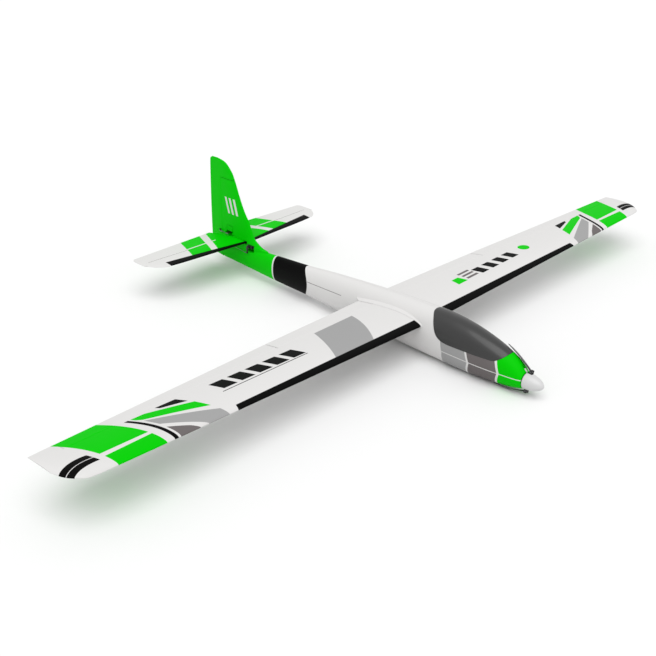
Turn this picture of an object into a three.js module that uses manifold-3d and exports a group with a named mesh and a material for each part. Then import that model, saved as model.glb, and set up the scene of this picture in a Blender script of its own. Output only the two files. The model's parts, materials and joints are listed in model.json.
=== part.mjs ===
// A 2.2 m electric RC sailplane: moulded foam airframe, two-panel wing on a bent joiner tube,
// flaps, ailerons, elevator and rudder on servo linkages, lift-off canopy and folding propeller.
// Millimetres, +Z up, +X to port, nose towards -Y.
import * as THREE from "three";
import { mergeVertices } from "three/addons/utils/BufferGeometryUtils.js";
import Module from "manifold-3d";

const wasm = await Module();
wasm.setup();

// ---------- driving dimensions ----------
// The airframe is drawn from the wing root: y = 0 on the leading edge, z = 0 on the chord plane.
const SPAN = 2200;
const NOSE_Y = -352;
const TAIL_Y = 905;
const BELLY_Z = -95;
const GAP = 0.3;
const HINGE_GAP = 0.6;
const HALF_SPAN = SPAN / 2;
const WING_ROOT_X = 48;
const DIHEDRAL = THREE.MathUtils.degToRad(1.77);
const WING_THICKNESS = 0.094;
const WING_CAMBER = 0.022;
const CAMBER_AT = 0.4;
const FLAP_IN_X = 51;
const FLAP_OUT_X = 414;
const AILERON_IN_X = 416;
const AILERON_OUT_X = 1034;
const TAIL_Z = 15;
const ELEVATOR_HINGE_Y = 800;
const ELEVATOR_IN_X = 17;
const STAB_HALF_SPAN = 340;
const RUDDER_HINGE_Y = 850;
const RUDDER_TOP_Z = 255;
const RUDDER_FOOT_Z = -62;
const FIN_TOP_Z = 197.5;
const BALANCE_Z = 199;
const SKIN = 7;
const CANOPY_SKIN = 5;
const THRUST_Z = -57;
const SPINNER_BACK_Y = -300;
const SPINNER_R = 21.5;
const PROP_TURN = THREE.MathUtils.degToRad(18);
const BLADE_PIVOT_R = 24.9;
const BLADE_PIVOT_Y = -308.3;
const BLADE_FOLD_TOP = THREE.MathUtils.degToRad(37);
const BLADE_FOLD_LOW = THREE.MathUtils.degToRad(16);
const BLADE_BOW = 0.0016;

const WHITE = { color: 0xe8e7e6, roughness: 0.45, metalness: 0 };
const GREEN = { color: 0x00d000, roughness: 0.45, metalness: 0 };
const BLACK = { color: 0x141414, roughness: 0.4, metalness: 0 };
const CHARCOAL = { color: 0x3c3c3c, roughness: 0.35, metalness: 0 };
const CARBON = { color: 0x1c1c1e, roughness: 0.35, metalness: 0.1 };
const STEEL = { color: 0xb8babd, roughness: 0.3, metalness: 1 };
const PLYWOOD = { color: 0xc8a878, roughness: 0.7, metalness: 0 };
const BLUE = { color: 0x2448a0, roughness: 0.45, metalness: 0 };

// ---------- small tools ----------
const vec = (x, y, z) => new THREE.Vector3(x, y, z);
const mix = (a, b, t) => a + (b - a) * t;

// Value at t of a table of [t, value, value ...] rows, straight between the rows.
function along(rows, t, column = 1) {
  const last = rows.length - 1;
  if (t <= rows[0][0]) return rows[0][column];
  if (t >= rows[last][0]) return rows[last][column];
  const i = rows.findIndex((row) => row[0] >= t);
  const [a, b] = [rows[i - 1], rows[i]];
  return mix(a[column], b[column], (t - a[0]) / (b[0] - a[0]));
}

// Closed geometry through rings of equally many points; the ends are zipped across.
function loft(rings) {
  const count = rings[0].length;
  const index = [];
  for (let r = 0; r + 1 < rings.length; r++) {
    for (let i = 0; i < count; i++) {
      const j = (i + 1) % count;
      const a = r * count;
      const b = a + count;
      index.push(a + i, a + j, b + j, a + i, b + j, b + i);
    }
  }
  const zip = (base, flip) => {
    let lo = 0;
    let hi = count - 1;
    while (hi - lo > 1) {
      const tri = [base + lo, base + hi, base + lo + 1];
      index.push(...(flip ? tri.reverse() : tri));
      lo += 1;
      if (hi - lo > 1) {
        const next = [base + lo, base + hi, base + hi - 1];
        index.push(...(flip ? next.reverse() : next));
        hi -= 1;
      }
    }
  };
  zip(0, false);
  zip((rings.length - 1) * count, true);
  const geometry = new THREE.BufferGeometry();
  const flat = rings.flat().flatMap((p) => [p.x, p.y, p.z]);
  geometry.setAttribute("position", new THREE.Float32BufferAttribute(flat, 3));
  geometry.setIndex(index);
  return geometry;
}

function signedVolume(positions, triangles) {
  let sum = 0;
  const at = (i) => vec(positions[3 * i], positions[3 * i + 1], positions[3 * i + 2]);
  for (let i = 0; i < triangles.length; i += 3) {
    sum += at(triangles[i]).dot(at(triangles[i + 1]).cross(at(triangles[i + 2]))) / 6;
  }
  return sum;
}

// A three.js geometry as a solid that can be cut and joined.
function solid(geometry) {
  const bare = geometry.clone();
  bare.deleteAttribute("normal");
  bare.deleteAttribute("uv");
  const merged = mergeVertices(bare, 1e-4);
  const vertProperties = merged.attributes.position.array;
  let triVerts = new Uint32Array(merged.index.array);
  if (signedVolume(vertProperties, triVerts) < 0) triVerts = triVerts.reverse();
  return new wasm.Manifold(new wasm.Mesh({ numProp: 3, vertProperties, triVerts }));
}

const union = (solids) => solids.reduce((a, b) => a.add(b));
const cut = (body, tools) => tools.reduce((a, b) => a.subtract(b), body);

function box(low, high) {
  const size = high.clone().sub(low);
  const centre = high.clone().add(low).multiplyScalar(0.5);
  const geometry = new THREE.BoxGeometry(size.x, size.y, size.z);
  return solid(geometry.translate(centre.x, centre.y, centre.z));
}

// A straight rod, or a cone if the radii differ, between two points.
function rod(from, to, radius, endRadius = radius, sides = 12) {
  const axis = to.clone().sub(from);
  const geometry = new THREE.CylinderGeometry(endRadius, radius, axis.length(), sides);
  const turn = new THREE.Quaternion().setFromUnitVectors(vec(0, 1, 0), axis.clone().normalize());
  geometry.applyQuaternion(turn);
  const middle = from.clone().add(to).multiplyScalar(0.5);
  return solid(geometry.translate(middle.x, middle.y, middle.z));
}

// A flat outline of [a, b] points, thick along the third direction, placed by a matrix.
function plate(outline, thickness, matrix) {
  const shape = new THREE.Shape(outline.map(([a, b]) => new THREE.Vector2(a, b)));
  const settings = { depth: thickness, bevelEnabled: false };
  const geometry = new THREE.ExtrudeGeometry(shape, settings).translate(0, 0, -thickness / 2);
  return solid(geometry.applyMatrix4(matrix));
}

// Outline in the Y-Z plane, thick along X; and outline in the X-Y plane, thick along Z.
const SIDE_VIEW = new THREE.Matrix4().makeBasis(vec(0, 1, 0), vec(0, 0, 1), vec(1, 0, 0));
const TOP_VIEW = new THREE.Matrix4();

const model = new THREE.Group();
model.position.set(0, -(NOSE_Y + TAIL_Y) / 2, -BELLY_Z);

function piece(name, body, look) {
  const made = body.getMesh();
  const geometry = new THREE.BufferGeometry();
  geometry.setAttribute("position", new THREE.BufferAttribute(made.vertProperties, 3));
  geometry.setIndex(new THREE.BufferAttribute(made.triVerts, 1));
  geometry.computeVertexNormals();
  const mesh = new THREE.Mesh(geometry, new THREE.MeshStandardMaterial(look));
  mesh.name = name;
  model.add(mesh);
}

const SIDES = [
  { name: "left", sign: 1 },
  { name: "right", sign: -1 },
];

// ---------- wing shape ----------
// x, leading edge y, trailing edge y
const WING_PLAN = [
  [0, 0, 222],
  [WING_ROOT_X, 0, 219.5],
  [415, -1.5, 195],
  [742, -3, 169],
  [1026, -4, 147.5],
  [1048, -2, 146],
  [1062, 6, 145],
  [1074, 18, 144],
  [1085, 33, 143],
  [1092, 50, 142.5],
  [1096, 62, 142],
];
// x, hinge line y
const WING_HINGE = [
  [0, 170],
  [415, 150],
  [1040, 113],
];
const FOIL_STEPS = [0, 0.008, 0.03, 0.08, 0.16, 0.28, 0.42, 0.58, 0.75, 1];
const TRAILING_EDGE = 0.7;
const TIP_LEAN = 4;

const wingRise = (x) => Math.abs(x) * Math.tan(DIHEDRAL);

function foilHeights(u, chord) {
  const root = 0.2969 * Math.sqrt(u) - 0.126 * u - 0.3516 * u ** 2;
  const half = 5 * WING_THICKNESS * (root + 0.2843 * u ** 3 - 0.1036 * u ** 4) * chord;
  const ahead = (WING_CAMBER / CAMBER_AT ** 2) * (2 * CAMBER_AT * u - u * u);
  const scale = WING_CAMBER / (1 - CAMBER_AT) ** 2;
  const behind = scale * (1 - 2 * CAMBER_AT + 2 * CAMBER_AT * u - u * u);
  const camber = (u < CAMBER_AT ? ahead : behind) * chord;
  const edge = TRAILING_EDGE * u;
  return [camber + half + edge, camber - half - edge];
}

// Upper and lower skin heights at a place on the wing.
function wingSkins(x, y) {
  const lead = along(WING_PLAN, Math.abs(x), 1);
  const chord = along(WING_PLAN, Math.abs(x), 2) - lead;
  const [top, low] = foilHeights((y - lead) / chord, chord);
  return [top + wingRise(x), low + wingRise(x)];
}

// Ring of the wing's section at x, from one edge to the other; thin scales its thickness.
function foilRing(x, sign, lead, trail, thin = 1, lean = 0) {
  const chord = trail - lead;
  const upper = [];
  const lower = [];
  for (const u of FOIL_STEPS) {
    const [top, low] = foilHeights(u, chord);
    const middle = (top + low) / 2;
    const place = (h) => vec(
      sign * (x + lean * u), lead + u * chord, wingRise(x) + middle + (h - middle) * thin,
    );
    upper.push(place(top));
    if (u > 0) lower.push(place(low));
  }
  return [...upper.reverse(), ...lower];
}

function wingSolid(sign) {
  const rings = WING_PLAN.slice(1).map(([x, lead, trail], i, rows) => {
    const fromTip = rows.length - 1 - i;
    const thin = [0.35, 0.75][fromTip] ?? 1;
    return foilRing(x, sign, lead, trail, thin, fromTip < 2 ? TIP_LEAN : 0);
  });
  return solid(loft(rings));
}

// The hinge line of a wing surface: a point on it at x, and its radius there.
function wingHinge(x, sign) {
  const y = along(WING_HINGE, x);
  const [top, low] = wingSkins(x, y);
  return { point: vec(sign * x, y, (top + low) / 2), radius: (top - low) / 2 };
}

const NOSE_STEPS = 6;
// Ring of a hinged surface: round nose on the hinge axis, straight skins to the trailing edge.
function hingedRing(hinge, trailingEdge, outward) {
  const ring = [];
  const back = trailingEdge.clone().sub(hinge.point).normalize();
  const up = back.clone().cross(outward).normalize();
  if (up.dot(vec(0.3, 0, 1)) < 0) up.negate();
  const edge = (s) => trailingEdge.clone().addScaledVector(up, s * TRAILING_EDGE);
  ring.push(edge(1));
  for (let i = 0; i <= NOSE_STEPS; i++) {
    const angle = (Math.PI * i) / NOSE_STEPS;
    const point = hinge.point.clone();
    point.addScaledVector(up, hinge.radius * Math.cos(angle));
    ring.push(point.addScaledVector(back, -hinge.radius * Math.sin(angle)));
  }
  ring.push(edge(-1));
  return ring;
}

function wingSurface(fromX, toX, sign) {
  const stops = [fromX, ...WING_PLAN.map(([x]) => x).filter((x) => x > fromX && x < toX), toX];
  const rings = stops.map((x) => {
    const y = along(WING_PLAN, x, 2);
    const [top, low] = wingSkins(x, y);
    return hingedRing(wingHinge(x, sign), vec(sign * x, y, (top + low) / 2), vec(sign, 0, 0));
  });
  return solid(loft(rings));
}

// Room for a hinged surface: the space behind the hinge line and a round cove ahead of it.
function wingSurfaceRoom(fromX, toX, sign) {
  const behind = 260;
  const [a, b] = [fromX - 1, toX + 1];
  const corners = [
    [a, wingHinge(a, sign).point.y], [b, wingHinge(b, sign).point.y], [b, behind], [a, behind],
  ].map(([x, y]) => [sign * x, y]);
  const space = plate(corners, 200, TOP_VIEW);
  const [in_, out] = [wingHinge(a, sign), wingHinge(b, sign)];
  const room = (h) => (h.radius + HINGE_GAP) / Math.cos(Math.PI / 16);
  return space.add(rod(in_.point, out.point, room(in_), room(out), 16));
}

// ---------- servo linkages ----------
// A linkage is a parallelogram: servo arm and horn are equal and parallel, so both turn alike.
const WING_SERVO = { long: 23, wide: 11, deep: 22, shaftFromEnd: 6, shaft: 4 };
const TAIL_SERVO = { long: 20, wide: 9, deep: 18, shaftFromEnd: 5, shaft: 4 };
const ARM_THICK = 2;
const HORN_THICK = 1.6;
const ROD_R = 0.9;
const CLEVIS_R = 1.7;

// Frame of a linkage: along the hinge, back along the rod, and the way the arms point.
function linkageFrame(hingeAxis, arm) {
  const x = hingeAxis.clone().normalize();
  const z = arm.clone().addScaledVector(x, -arm.dot(x)).normalize();
  const y = z.clone().cross(x);
  return { x, y, z };
}

function inFrame(frame, origin, a, b, c) {
  const point = origin.clone().addScaledVector(frame.x, a);
  return point.addScaledVector(frame.y, b).addScaledVector(frame.z, c);
}

// Outline in a frame's Y-Z plane, thick along its X, centred on a point.
function framedPlate(frame, origin, outline, thickness) {
  const matrix = new THREE.Matrix4().makeBasis(frame.y, frame.z, frame.x).setPosition(origin);
  return plate(outline, thickness, matrix);
}

function framedBox(frame, origin, low, high) {
  const outline = [[low[1], low[2]], [high[1], low[2]], [high[1], high[2]], [low[1], high[2]]];
  const middle = inFrame(frame, origin, (low[0] + high[0]) / 2, 0, 0);
  return framedPlate(frame, middle, outline, high[0] - low[0]);
}

const ARM_ROOT_R = 4;
const ARM_TIP_R = 2.4;
// A tapered lever with round ends, from the shaft to its hole.
function lever(length) {
  const outline = [];
  for (let i = 0; i <= 6; i++) {
    const angle = Math.PI + (Math.PI * i) / 6;
    outline.push([ARM_ROOT_R * Math.cos(angle), ARM_ROOT_R * Math.sin(angle)]);
  }
  for (let i = 0; i <= 4; i++) {
    const angle = (Math.PI * i) / 4;
    outline.push([ARM_TIP_R * Math.cos(angle), length + ARM_TIP_R * Math.sin(angle)]);
  }
  return outline;
}

// Adds the servo, its arm, the pushrod and the horn, and returns the room that they need.
// side is where the servo stands along the hinge axis, back is the rod's way along frame.y.
function linkage({ name, frame, hinge, shaft, armLength, servo, side, back, surface, footDepth }) {
  const arm = framedPlate(frame, shaft, lever(armLength), ARM_THICK);
  piece(`${name}_servo_arm`, arm, BLACK);

  // The rod and its clevises run beside the arm and the horn, on the side away from the servo.
  const beside = -side * (ARM_THICK / 2 + CLEVIS_R + GAP);
  const rodStart = inFrame(frame, shaft, beside, 0, armLength);
  const rodEnd = inFrame(frame, hinge, beside, 0, armLength);
  const way = rodEnd.clone().sub(rodStart).normalize();
  const clevis = (end, inward) => rod(
    end.clone().addScaledVector(way, -2 * inward),
    end.clone().addScaledVector(way, 11 * inward), CLEVIS_R, CLEVIS_R, 8,
  );
  const wire = rod(rodStart, rodEnd, ROD_R, ROD_R, 6);
  piece(`${name}_pushrod`, union([wire, clevis(rodStart, 1), clevis(rodEnd, -1)]), STEEL);

  const foot = [
    [-2.6 * back, armLength + 2.2], [2.6 * back, armLength + 2.2],
    [17 * back, footDepth], [5 * back, footDepth],
  ];
  const clear = frame.z.clone().multiplyScalar(GAP);
  const seat = surface.add(surface.translate([clear.x, clear.y, clear.z]));
  piece(`${name}_horn`, framedPlate(frame, hinge, foot, HORN_THICK).subtract(seat), BLACK);

  // The servo's case runs along the frame from its output shaft, with two mounting ears.
  const span = (a, b) => [Math.min(a, b), Math.max(a, b)];
  const near = side * (ARM_THICK / 2 + GAP);
  const caseNear = near + side * servo.shaft;
  const [x0, x1] = span(caseNear, caseNear + side * servo.deep);
  const [y0, y1] = span(-back * (servo.long - servo.shaftFromEnd), back * servo.shaftFromEnd);
  const half = servo.wide / 2;
  const [e0, e1] = span(caseNear + side * 5, caseNear + side * 7);
  const body = framedBox(frame, shaft, [x0, y0, -half], [x1, y1, half]);
  const ears = framedBox(frame, shaft, [e0, y0 - 4.5, -half], [e1, y1 + 4.5, half]);
  const post = rod(
    inFrame(frame, shaft, near, 0, 0), inFrame(frame, shaft, caseNear + side, 0, 0), 3.2,
  );
  piece(`${name}_servo`, union([body, ears, post]), BLACK);

  const slack = 0.5;
  const open = 12;
  const reach = armLength + ARM_TIP_R + 1;
  const [s0, s1] = span(beside - side * (CLEVIS_R + 1.2), caseNear + side);
  return {
    servo: framedBox(
      frame, shaft, [x0 - slack, y0 - 5, -half - slack], [x1 + slack, y1 + 5, half + open],
    ),
    arm: framedBox(frame, shaft, [s0, -reach, -5.5], [s1, reach, half + open]),
  };
}

// ---------- wings with their surfaces and servos ----------
const FLAP_ARM = 16;
const AILERON_ARM = 12;
const WING_LINKS = [
  { name: "flap", from: FLAP_IN_X, to: FLAP_OUT_X, at: 232, arm: FLAP_ARM, rod: 78 },
  { name: "aileron", from: AILERON_IN_X, to: AILERON_OUT_X, at: 640, arm: AILERON_ARM, rod: 74 },
];
const JOINER_Y = 72;
const JOINER_R = 5;
const JOINER_REACH = 205;
const PIN_Y = 152;
const PIN_R = 2.5;
const PIN_REACH = 70;

// The middle of the wing's thickness at a place.
function wingMiddle(x, y, sign) {
  const [top, low] = wingSkins(x, y);
  return vec(sign * x, y, (top + low) / 2);
}

// The joiner runs straight along each panel and bends at the middle of the fuselage.
const joinerZ = wingMiddle(0, JOINER_Y, 1).z;
const joinerEnd = (sign, reach) => vec(sign * reach, JOINER_Y, joinerZ + wingRise(reach));
function joiner(radius, reach) {
  const middle = vec(0, JOINER_Y, joinerZ);
  const path = new THREE.CurvePath();
  path.add(new THREE.LineCurve3(joinerEnd(-1, reach), middle));
  path.add(new THREE.LineCurve3(middle, joinerEnd(1, reach)));
  const section = new THREE.Shape().absarc(0, 0, radius, 0, 2 * Math.PI);
  const settings = { steps: 8, curveSegments: 6, extrudePath: path, bevelEnabled: false };
  return solid(new THREE.ExtrudeGeometry(section, settings));
}
const pinZ = wingMiddle(WING_ROOT_X, PIN_Y, 1).z;
function rearPin(radius, reach) {
  return rod(vec(-reach, PIN_Y, pinZ), vec(reach, PIN_Y, pinZ), radius);
}

const joinerRoom = joiner(JOINER_R + 0.5, JOINER_REACH + 3);
const pinRoom = rearPin(PIN_R + 0.5, PIN_REACH + 2);
piece("wing_joiner_tube", joiner(JOINER_R, JOINER_REACH), CARBON);
piece("wing_rear_pin", rearPin(PIN_R, PIN_REACH), CARBON);

for (const { name: side, sign } of SIDES) {
  const pockets = [];
  for (const link of WING_LINKS) {
    const surface = wingSurface(link.from, link.to, sign);
    piece(`${link.name}_${side}`, surface, WHITE);
    // The hinge axis is straight from end to end of the surface.
    const root = wingHinge(link.from, sign).point;
    const tip = wingHinge(link.to, sign).point;
    const hinge = root.clone().lerp(tip, (link.at - link.from) / (link.to - link.from));
    const frame = linkageFrame(tip.clone().sub(root).multiplyScalar(sign), vec(0, 0, -1));
    const back = Math.sign(frame.y.y);
    const shaft = inFrame(frame, hinge, 0, -back * link.rod, 0);
    const [, skin] = wingSkins(link.at, shaft.y);
    shaft.z = skin + WING_SERVO.wide / 2 + 0.4;
    const room = linkage({
      name: `${link.name}_${side}`, frame, hinge, shaft, armLength: link.arm,
      servo: WING_SERVO, side: sign, back, surface,
      footDepth: wingHinge(link.at, sign).radius * 0.4,
    });
    pockets.push(room.servo, room.arm);
  }
  const rooms = [
    wingSurfaceRoom(FLAP_IN_X, FLAP_OUT_X, sign),
    wingSurfaceRoom(AILERON_IN_X, AILERON_OUT_X, sign),
  ];
  const trim = box(vec(-WING_ROOT_X - GAP, -60, -60), vec(WING_ROOT_X + GAP, 300, 60));
  const panel = cut(wingSolid(sign), [...rooms, ...pockets, joinerRoom, pinRoom, trim]);
  piece(`wing_${side}`, panel, WHITE);
}

// ---------- tail ----------
// z, leading edge y
const FIN_LEAD = [
  [-20, 640], [6, 640], [10, 662], [17, 678], [32, 700], [56, 713], [82, 726], [107, 743],
  [150, 764], [190, 780], [216, 792], [232, 805], [247, 823], [252, 838], [255, 858],
];
// z, trailing edge y
const FIN_TRAIL = [
  [-62, 886], [-54, 894], [-40, 900], [-20, 904], [0, TAIL_Y], [240, 898], [249, 896],
  [255, 887],
];
// z, half thickness at the thickest place, half thickness at the hinge
const FIN_THICK = [
  [-62, 7, 6.5], [-54, 10, 9], [-30, 11, 10], [6, 10.5, 8.8], [17, 9.8, 8], [32, 8.8, 7],
  [56, 7.8, 6], [107, 6.8, 5], [197, 5.2, 4], [247, 3.6, 2.8], [255, 1.6, 1.2],
];
const THICKEST_AT = 0.35;
const PLATE_STEPS = [0, 0.02, 0.08, 0.18, THICKEST_AT, 0.5, 1];

// Half thickness of a tail section at u; thick is at its thickest, hinged at hingeAt.
function tailHalf(u, thick, hinged, hingeAt) {
  if (u < THICKEST_AT) return thick * Math.sqrt(1 - (1 - u / THICKEST_AT) ** 2);
  if (u < hingeAt) {
    const t = (u - THICKEST_AT) / (hingeAt - THICKEST_AT);
    return mix(thick, hinged, t * t * (3 - 2 * t));
  }
  return mix(hinged, TRAILING_EDGE, (u - hingeAt) / (1 - hingeAt));
}

// Ring of a symmetric section; place turns (y, offset) into a point.
function tailRing(lead, trail, hingeY, thick, hinged, place) {
  const hingeAt = (hingeY - lead) / (trail - lead);
  const steps = [...PLATE_STEPS, hingeAt].sort((a, b) => a - b);
  const one = steps.map((u) => [mix(lead, trail, u), tailHalf(u, thick, hinged, hingeAt)]);
  const upper = one.map(([y, h]) => place(y, h)).reverse();
  return [...upper, ...one.slice(1).map(([y, h]) => place(y, -h))];
}

function finRing(z) {
  const [thick, hinged] = [along(FIN_THICK, z, 1), along(FIN_THICK, z, 2)];
  const [lead, trail] = [along(FIN_LEAD, z), along(FIN_TRAIL, z)];
  const hingeY = Math.max(RUDDER_HINGE_Y, mix(lead, trail, 0.5));
  return tailRing(lead, trail, hingeY, thick, hinged, (y, h) => vec(h, y, z));
}

const between = (rows, low, high) => {
  const inside = rows.map(([t]) => t).filter((t) => t > low && t < high);
  return [low, ...inside, high];
};

const finSolid = solid(loft(between(FIN_LEAD, -20, FIN_TOP_Z).map(finRing)));

function rudderHinge(z) {
  return { point: vec(0, RUDDER_HINGE_Y, z), radius: along(FIN_THICK, z, 2) };
}
const rudderBlade = solid(loft(between(FIN_THICK, RUDDER_FOOT_Z, BALANCE_Z + 6).map(
  (z) => hingedRing(rudderHinge(z), vec(0, along(FIN_TRAIL, z), z), vec(0, 0, 1)),
)));
const rudderBalance = solid(loft(between(FIN_LEAD, BALANCE_Z, RUDDER_TOP_Z).map(finRing)));
const rudder = rudderBlade.add(rudderBalance);
piece("rudder", rudder, GREEN);

// Cone-shaped coves ahead of the rudder's hinge line, and the space behind it.
const rudderRoom = union([
  box(vec(-40, RUDDER_HINGE_Y, -90), vec(40, 960, FIN_TOP_Z + 1)),
  solid(loft(between(FIN_THICK, -90, FIN_TOP_Z + 1).map((z) => {
    const radius = (along(FIN_THICK, z, 2) + HINGE_GAP) / Math.cos(Math.PI / 16);
    return Array.from({ length: 16 }, (_, i) => {
      const angle = (2 * Math.PI * i) / 16;
      return vec(radius * Math.cos(angle), RUDDER_HINGE_Y + radius * Math.sin(angle), z);
    });
  }))),
]);

// x, leading edge y, trailing edge y, half thickness, half thickness at the hinge
const STAB_PLAN = [
  [0, 729, 879, 4.3, 3.6], [113, 737, 875, 4, 3.4], [293, 752, 867, 3.3, 2.9],
  [316, 768, 866, 3, 2.7], [328, 783, 865.5, 2.5, 2.4], [333, 791, 865, 1.8, 1.8],
];
function stabRing(x) {
  const [lead, trail, thick, hinged] = [1, 2, 3, 4].map((c) => along(STAB_PLAN, Math.abs(x), c));
  return tailRing(lead, trail, ELEVATOR_HINGE_Y, thick, hinged, (y, h) => vec(x, y, TAIL_Z + h));
}
const stabStops = STAB_PLAN.map(([x]) => x);
const acrossSpan = [...stabStops.slice(1).map((x) => -x).reverse(), ...stabStops];
const elevatorHinge = (x) => ({
  point: vec(x, ELEVATOR_HINGE_Y, TAIL_Z), radius: along(STAB_PLAN, Math.abs(x), 4),
});
const coveEnd = (x) => {
  const { point, radius } = elevatorHinge(x);
  return [point, (radius + HINGE_GAP) / Math.cos(Math.PI / 16)];
};
const elevatorCove = (sign) => {
  const [inner, innerR] = coveEnd(0);
  const [outer, outerR] = coveEnd(sign * (STAB_HALF_SPAN + 10));
  return rod(inner, outer, innerR, outerR, 16);
};
const stabilizer = cut(solid(loft(acrossSpan.map(stabRing))), [
  box(vec(-400, ELEVATOR_HINGE_Y, -20), vec(400, 960, 50)), elevatorCove(1), elevatorCove(-1),
]);
piece("stabilizer", stabilizer, WHITE);

// x, trailing edge y, share of the thickness
const ELEVATOR_PLAN = [
  [ELEVATOR_IN_X, 846, 1], [36, 878, 1], [333, 865, 1], [338, 858, 0.7], [STAB_HALF_SPAN, 850, 0.3],
];
function elevatorHalf(sign) {
  const rings = ELEVATOR_PLAN.map(([x, trail, share]) => {
    const { point, radius } = elevatorHinge(x);
    const hinge = { point: point.setX(sign * x), radius: radius * share };
    return hingedRing(hinge, vec(sign * x, trail, TAIL_Z), vec(sign, 0, 0));
  });
  return solid(loft(rings));
}
const ELEVATOR_BRIDGE = { back: 8, half: 2.4 };
const elevator = union([
  elevatorHalf(1), elevatorHalf(-1),
  box(
    vec(-ELEVATOR_IN_X - 1, ELEVATOR_HINGE_Y, TAIL_Z - ELEVATOR_BRIDGE.half),
    vec(ELEVATOR_IN_X + 1, ELEVATOR_HINGE_Y + ELEVATOR_BRIDGE.back, TAIL_Z + ELEVATOR_BRIDGE.half),
  ),
]);
piece("elevator", elevator, WHITE);

const ELEVATOR_ARM = 18;
const ELEVATOR_LINK_X = -19.5;
const ELEVATOR_SHAFT = vec(ELEVATOR_LINK_X, 716, 8);
const elevatorLink = linkage({
  name: "elevator", frame: linkageFrame(vec(1, 0, 0), vec(0, 0, -1)),
  hinge: vec(ELEVATOR_LINK_X, ELEVATOR_HINGE_Y, TAIL_Z), shaft: ELEVATOR_SHAFT,
  armLength: ELEVATOR_ARM, servo: TAIL_SERVO, side: 1, back: -1, surface: elevator, footDepth: 1,
});

const RUDDER_ARM = 12;
const RUDDER_LINK_Z = 26.5;
const RUDDER_SHAFT = vec(0, 814, RUDDER_LINK_Z);
const rudderLink = linkage({
  name: "rudder", frame: linkageFrame(vec(0, 0, 1), vec(-1, 0, 0)),
  hinge: vec(0, RUDDER_HINGE_Y, RUDDER_LINK_Z), shaft: RUDDER_SHAFT,
  armLength: RUDDER_ARM, servo: TAIL_SERVO, side: 1, back: 1, surface: rudder, footDepth: 3,
});

// ---------- fuselage ----------
// y, centre z, half height, half width
const HULL = [
  [-298, -57, 21.5, 21.5], [-291, -54.2, 26.2, 24.5], [-275, -49.5, 35.5, 28.5],
  [-255, -45, 43, 32], [-211, -38.5, 53.5, 40], [-170, -33.8, 60.2, 44.5],
  [-125, -30, 66.3, 47], [-75, -26.6, 68.9, 49], [-32, -24.6, 69, 49.5],
  [30, -24.5, 68, 49], [108, -25, 66, 46.5],
  [180, -25.5, 63, 43], [260, -26.3, 58.5, 38.5], [349, -27, 53, 33], [468, -30.6, 45.5, 26],
  [575, -33, 41.5, 21], [650, -34.5, 38, 17.5], [720, -34.5, 35, 15], [776, -34, 33, 13],
  [RUDDER_HINGE_Y, -33, 32, 10.5],
];
const HULL_POINTS = 24;
const HULL_POWER = 2 / 2.15;

function hullRing(y, inset, count) {
  const [centre, high, wide] = [1, 2, 3].map((c) => along(HULL, y, c));
  const bow = (value) => Math.sign(value) * Math.abs(value) ** HULL_POWER;
  return Array.from({ length: count }, (_, i) => {
    const angle = (2 * Math.PI * i) / count;
    const x = (wide - inset) * bow(Math.sin(angle));
    return vec(x, y, centre + (high - inset) * bow(Math.cos(angle)));
  });
}
function hullSolid(fromY, toY, inset, count) {
  return solid(loft(between(HULL, fromY, toY).map((y) => hullRing(y, inset, count))));
}

const hull = hullSolid(-298, RUDDER_HINGE_Y, 0, HULL_POINTS);
const CAVITY_END_Y = 600;
const cavity = hullSolid(-299, CAVITY_END_Y, SKIN, 16);
// A slice of the cavity, for the parts that fit its walls.
function cavitySlice(low, high) {
  const inner = hullSolid(-292, CAVITY_END_Y - 20, SKIN + GAP, 16);
  return inner.intersect(box(vec(-60, low.y, low.z), vec(60, high.y, high.z)));
}

// The wing seat: stubs that swell from the wing's section into the hull.
function wingSeat(sign) {
  return solid(loft([
    foilRing(0, sign, -34, 268, 1.5), foilRing(30, sign, -16, 248, 1.4),
    foilRing(40, sign, -7, 234, 1.2), foilRing(WING_ROOT_X, sign, -1.5, 222, 1.04),
  ]));
}

// The canopy's outline in side view; the canopy lifts up and away from it.
const CANOPY_OUTLINE = [
  [-9, 90], [-11, 46], [-26, 33], [-37, 14], [-44, 1], [-52, -9], [-66, -17], [-88, -20],
  [-222, -20], [-236, -13], [-247, -4], [-257, 8], [-262, 22], [-262, 90],
];
// An outline moved outward by a distance, or inward if it is negative.
const grow = (outline, by) => {
  const centre = [-140, 80];
  return outline.map(([y, z]) => {
    const [dy, dz] = [y - centre[0], z - centre[1]];
    return [y + Math.sign(dy) * by, z + Math.sign(dz) * by];
  });
};
const SILL_OPEN = 14;
const canopyHole = plate(grow(CANOPY_OUTLINE, GAP), 140, SIDE_VIEW);
const canopyBlock = hull.intersect(plate(CANOPY_OUTLINE, 140, SIDE_VIEW));
const canopyInside = hullSolid(-290, 60, CANOPY_SKIN, 16).intersect(
  plate(
    grow(CANOPY_OUTLINE, -CANOPY_SKIN).map(([y, z]) => [y, z < 0 ? z - SILL_OPEN : z]), 140, SIDE_VIEW,
  ),
);

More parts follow.
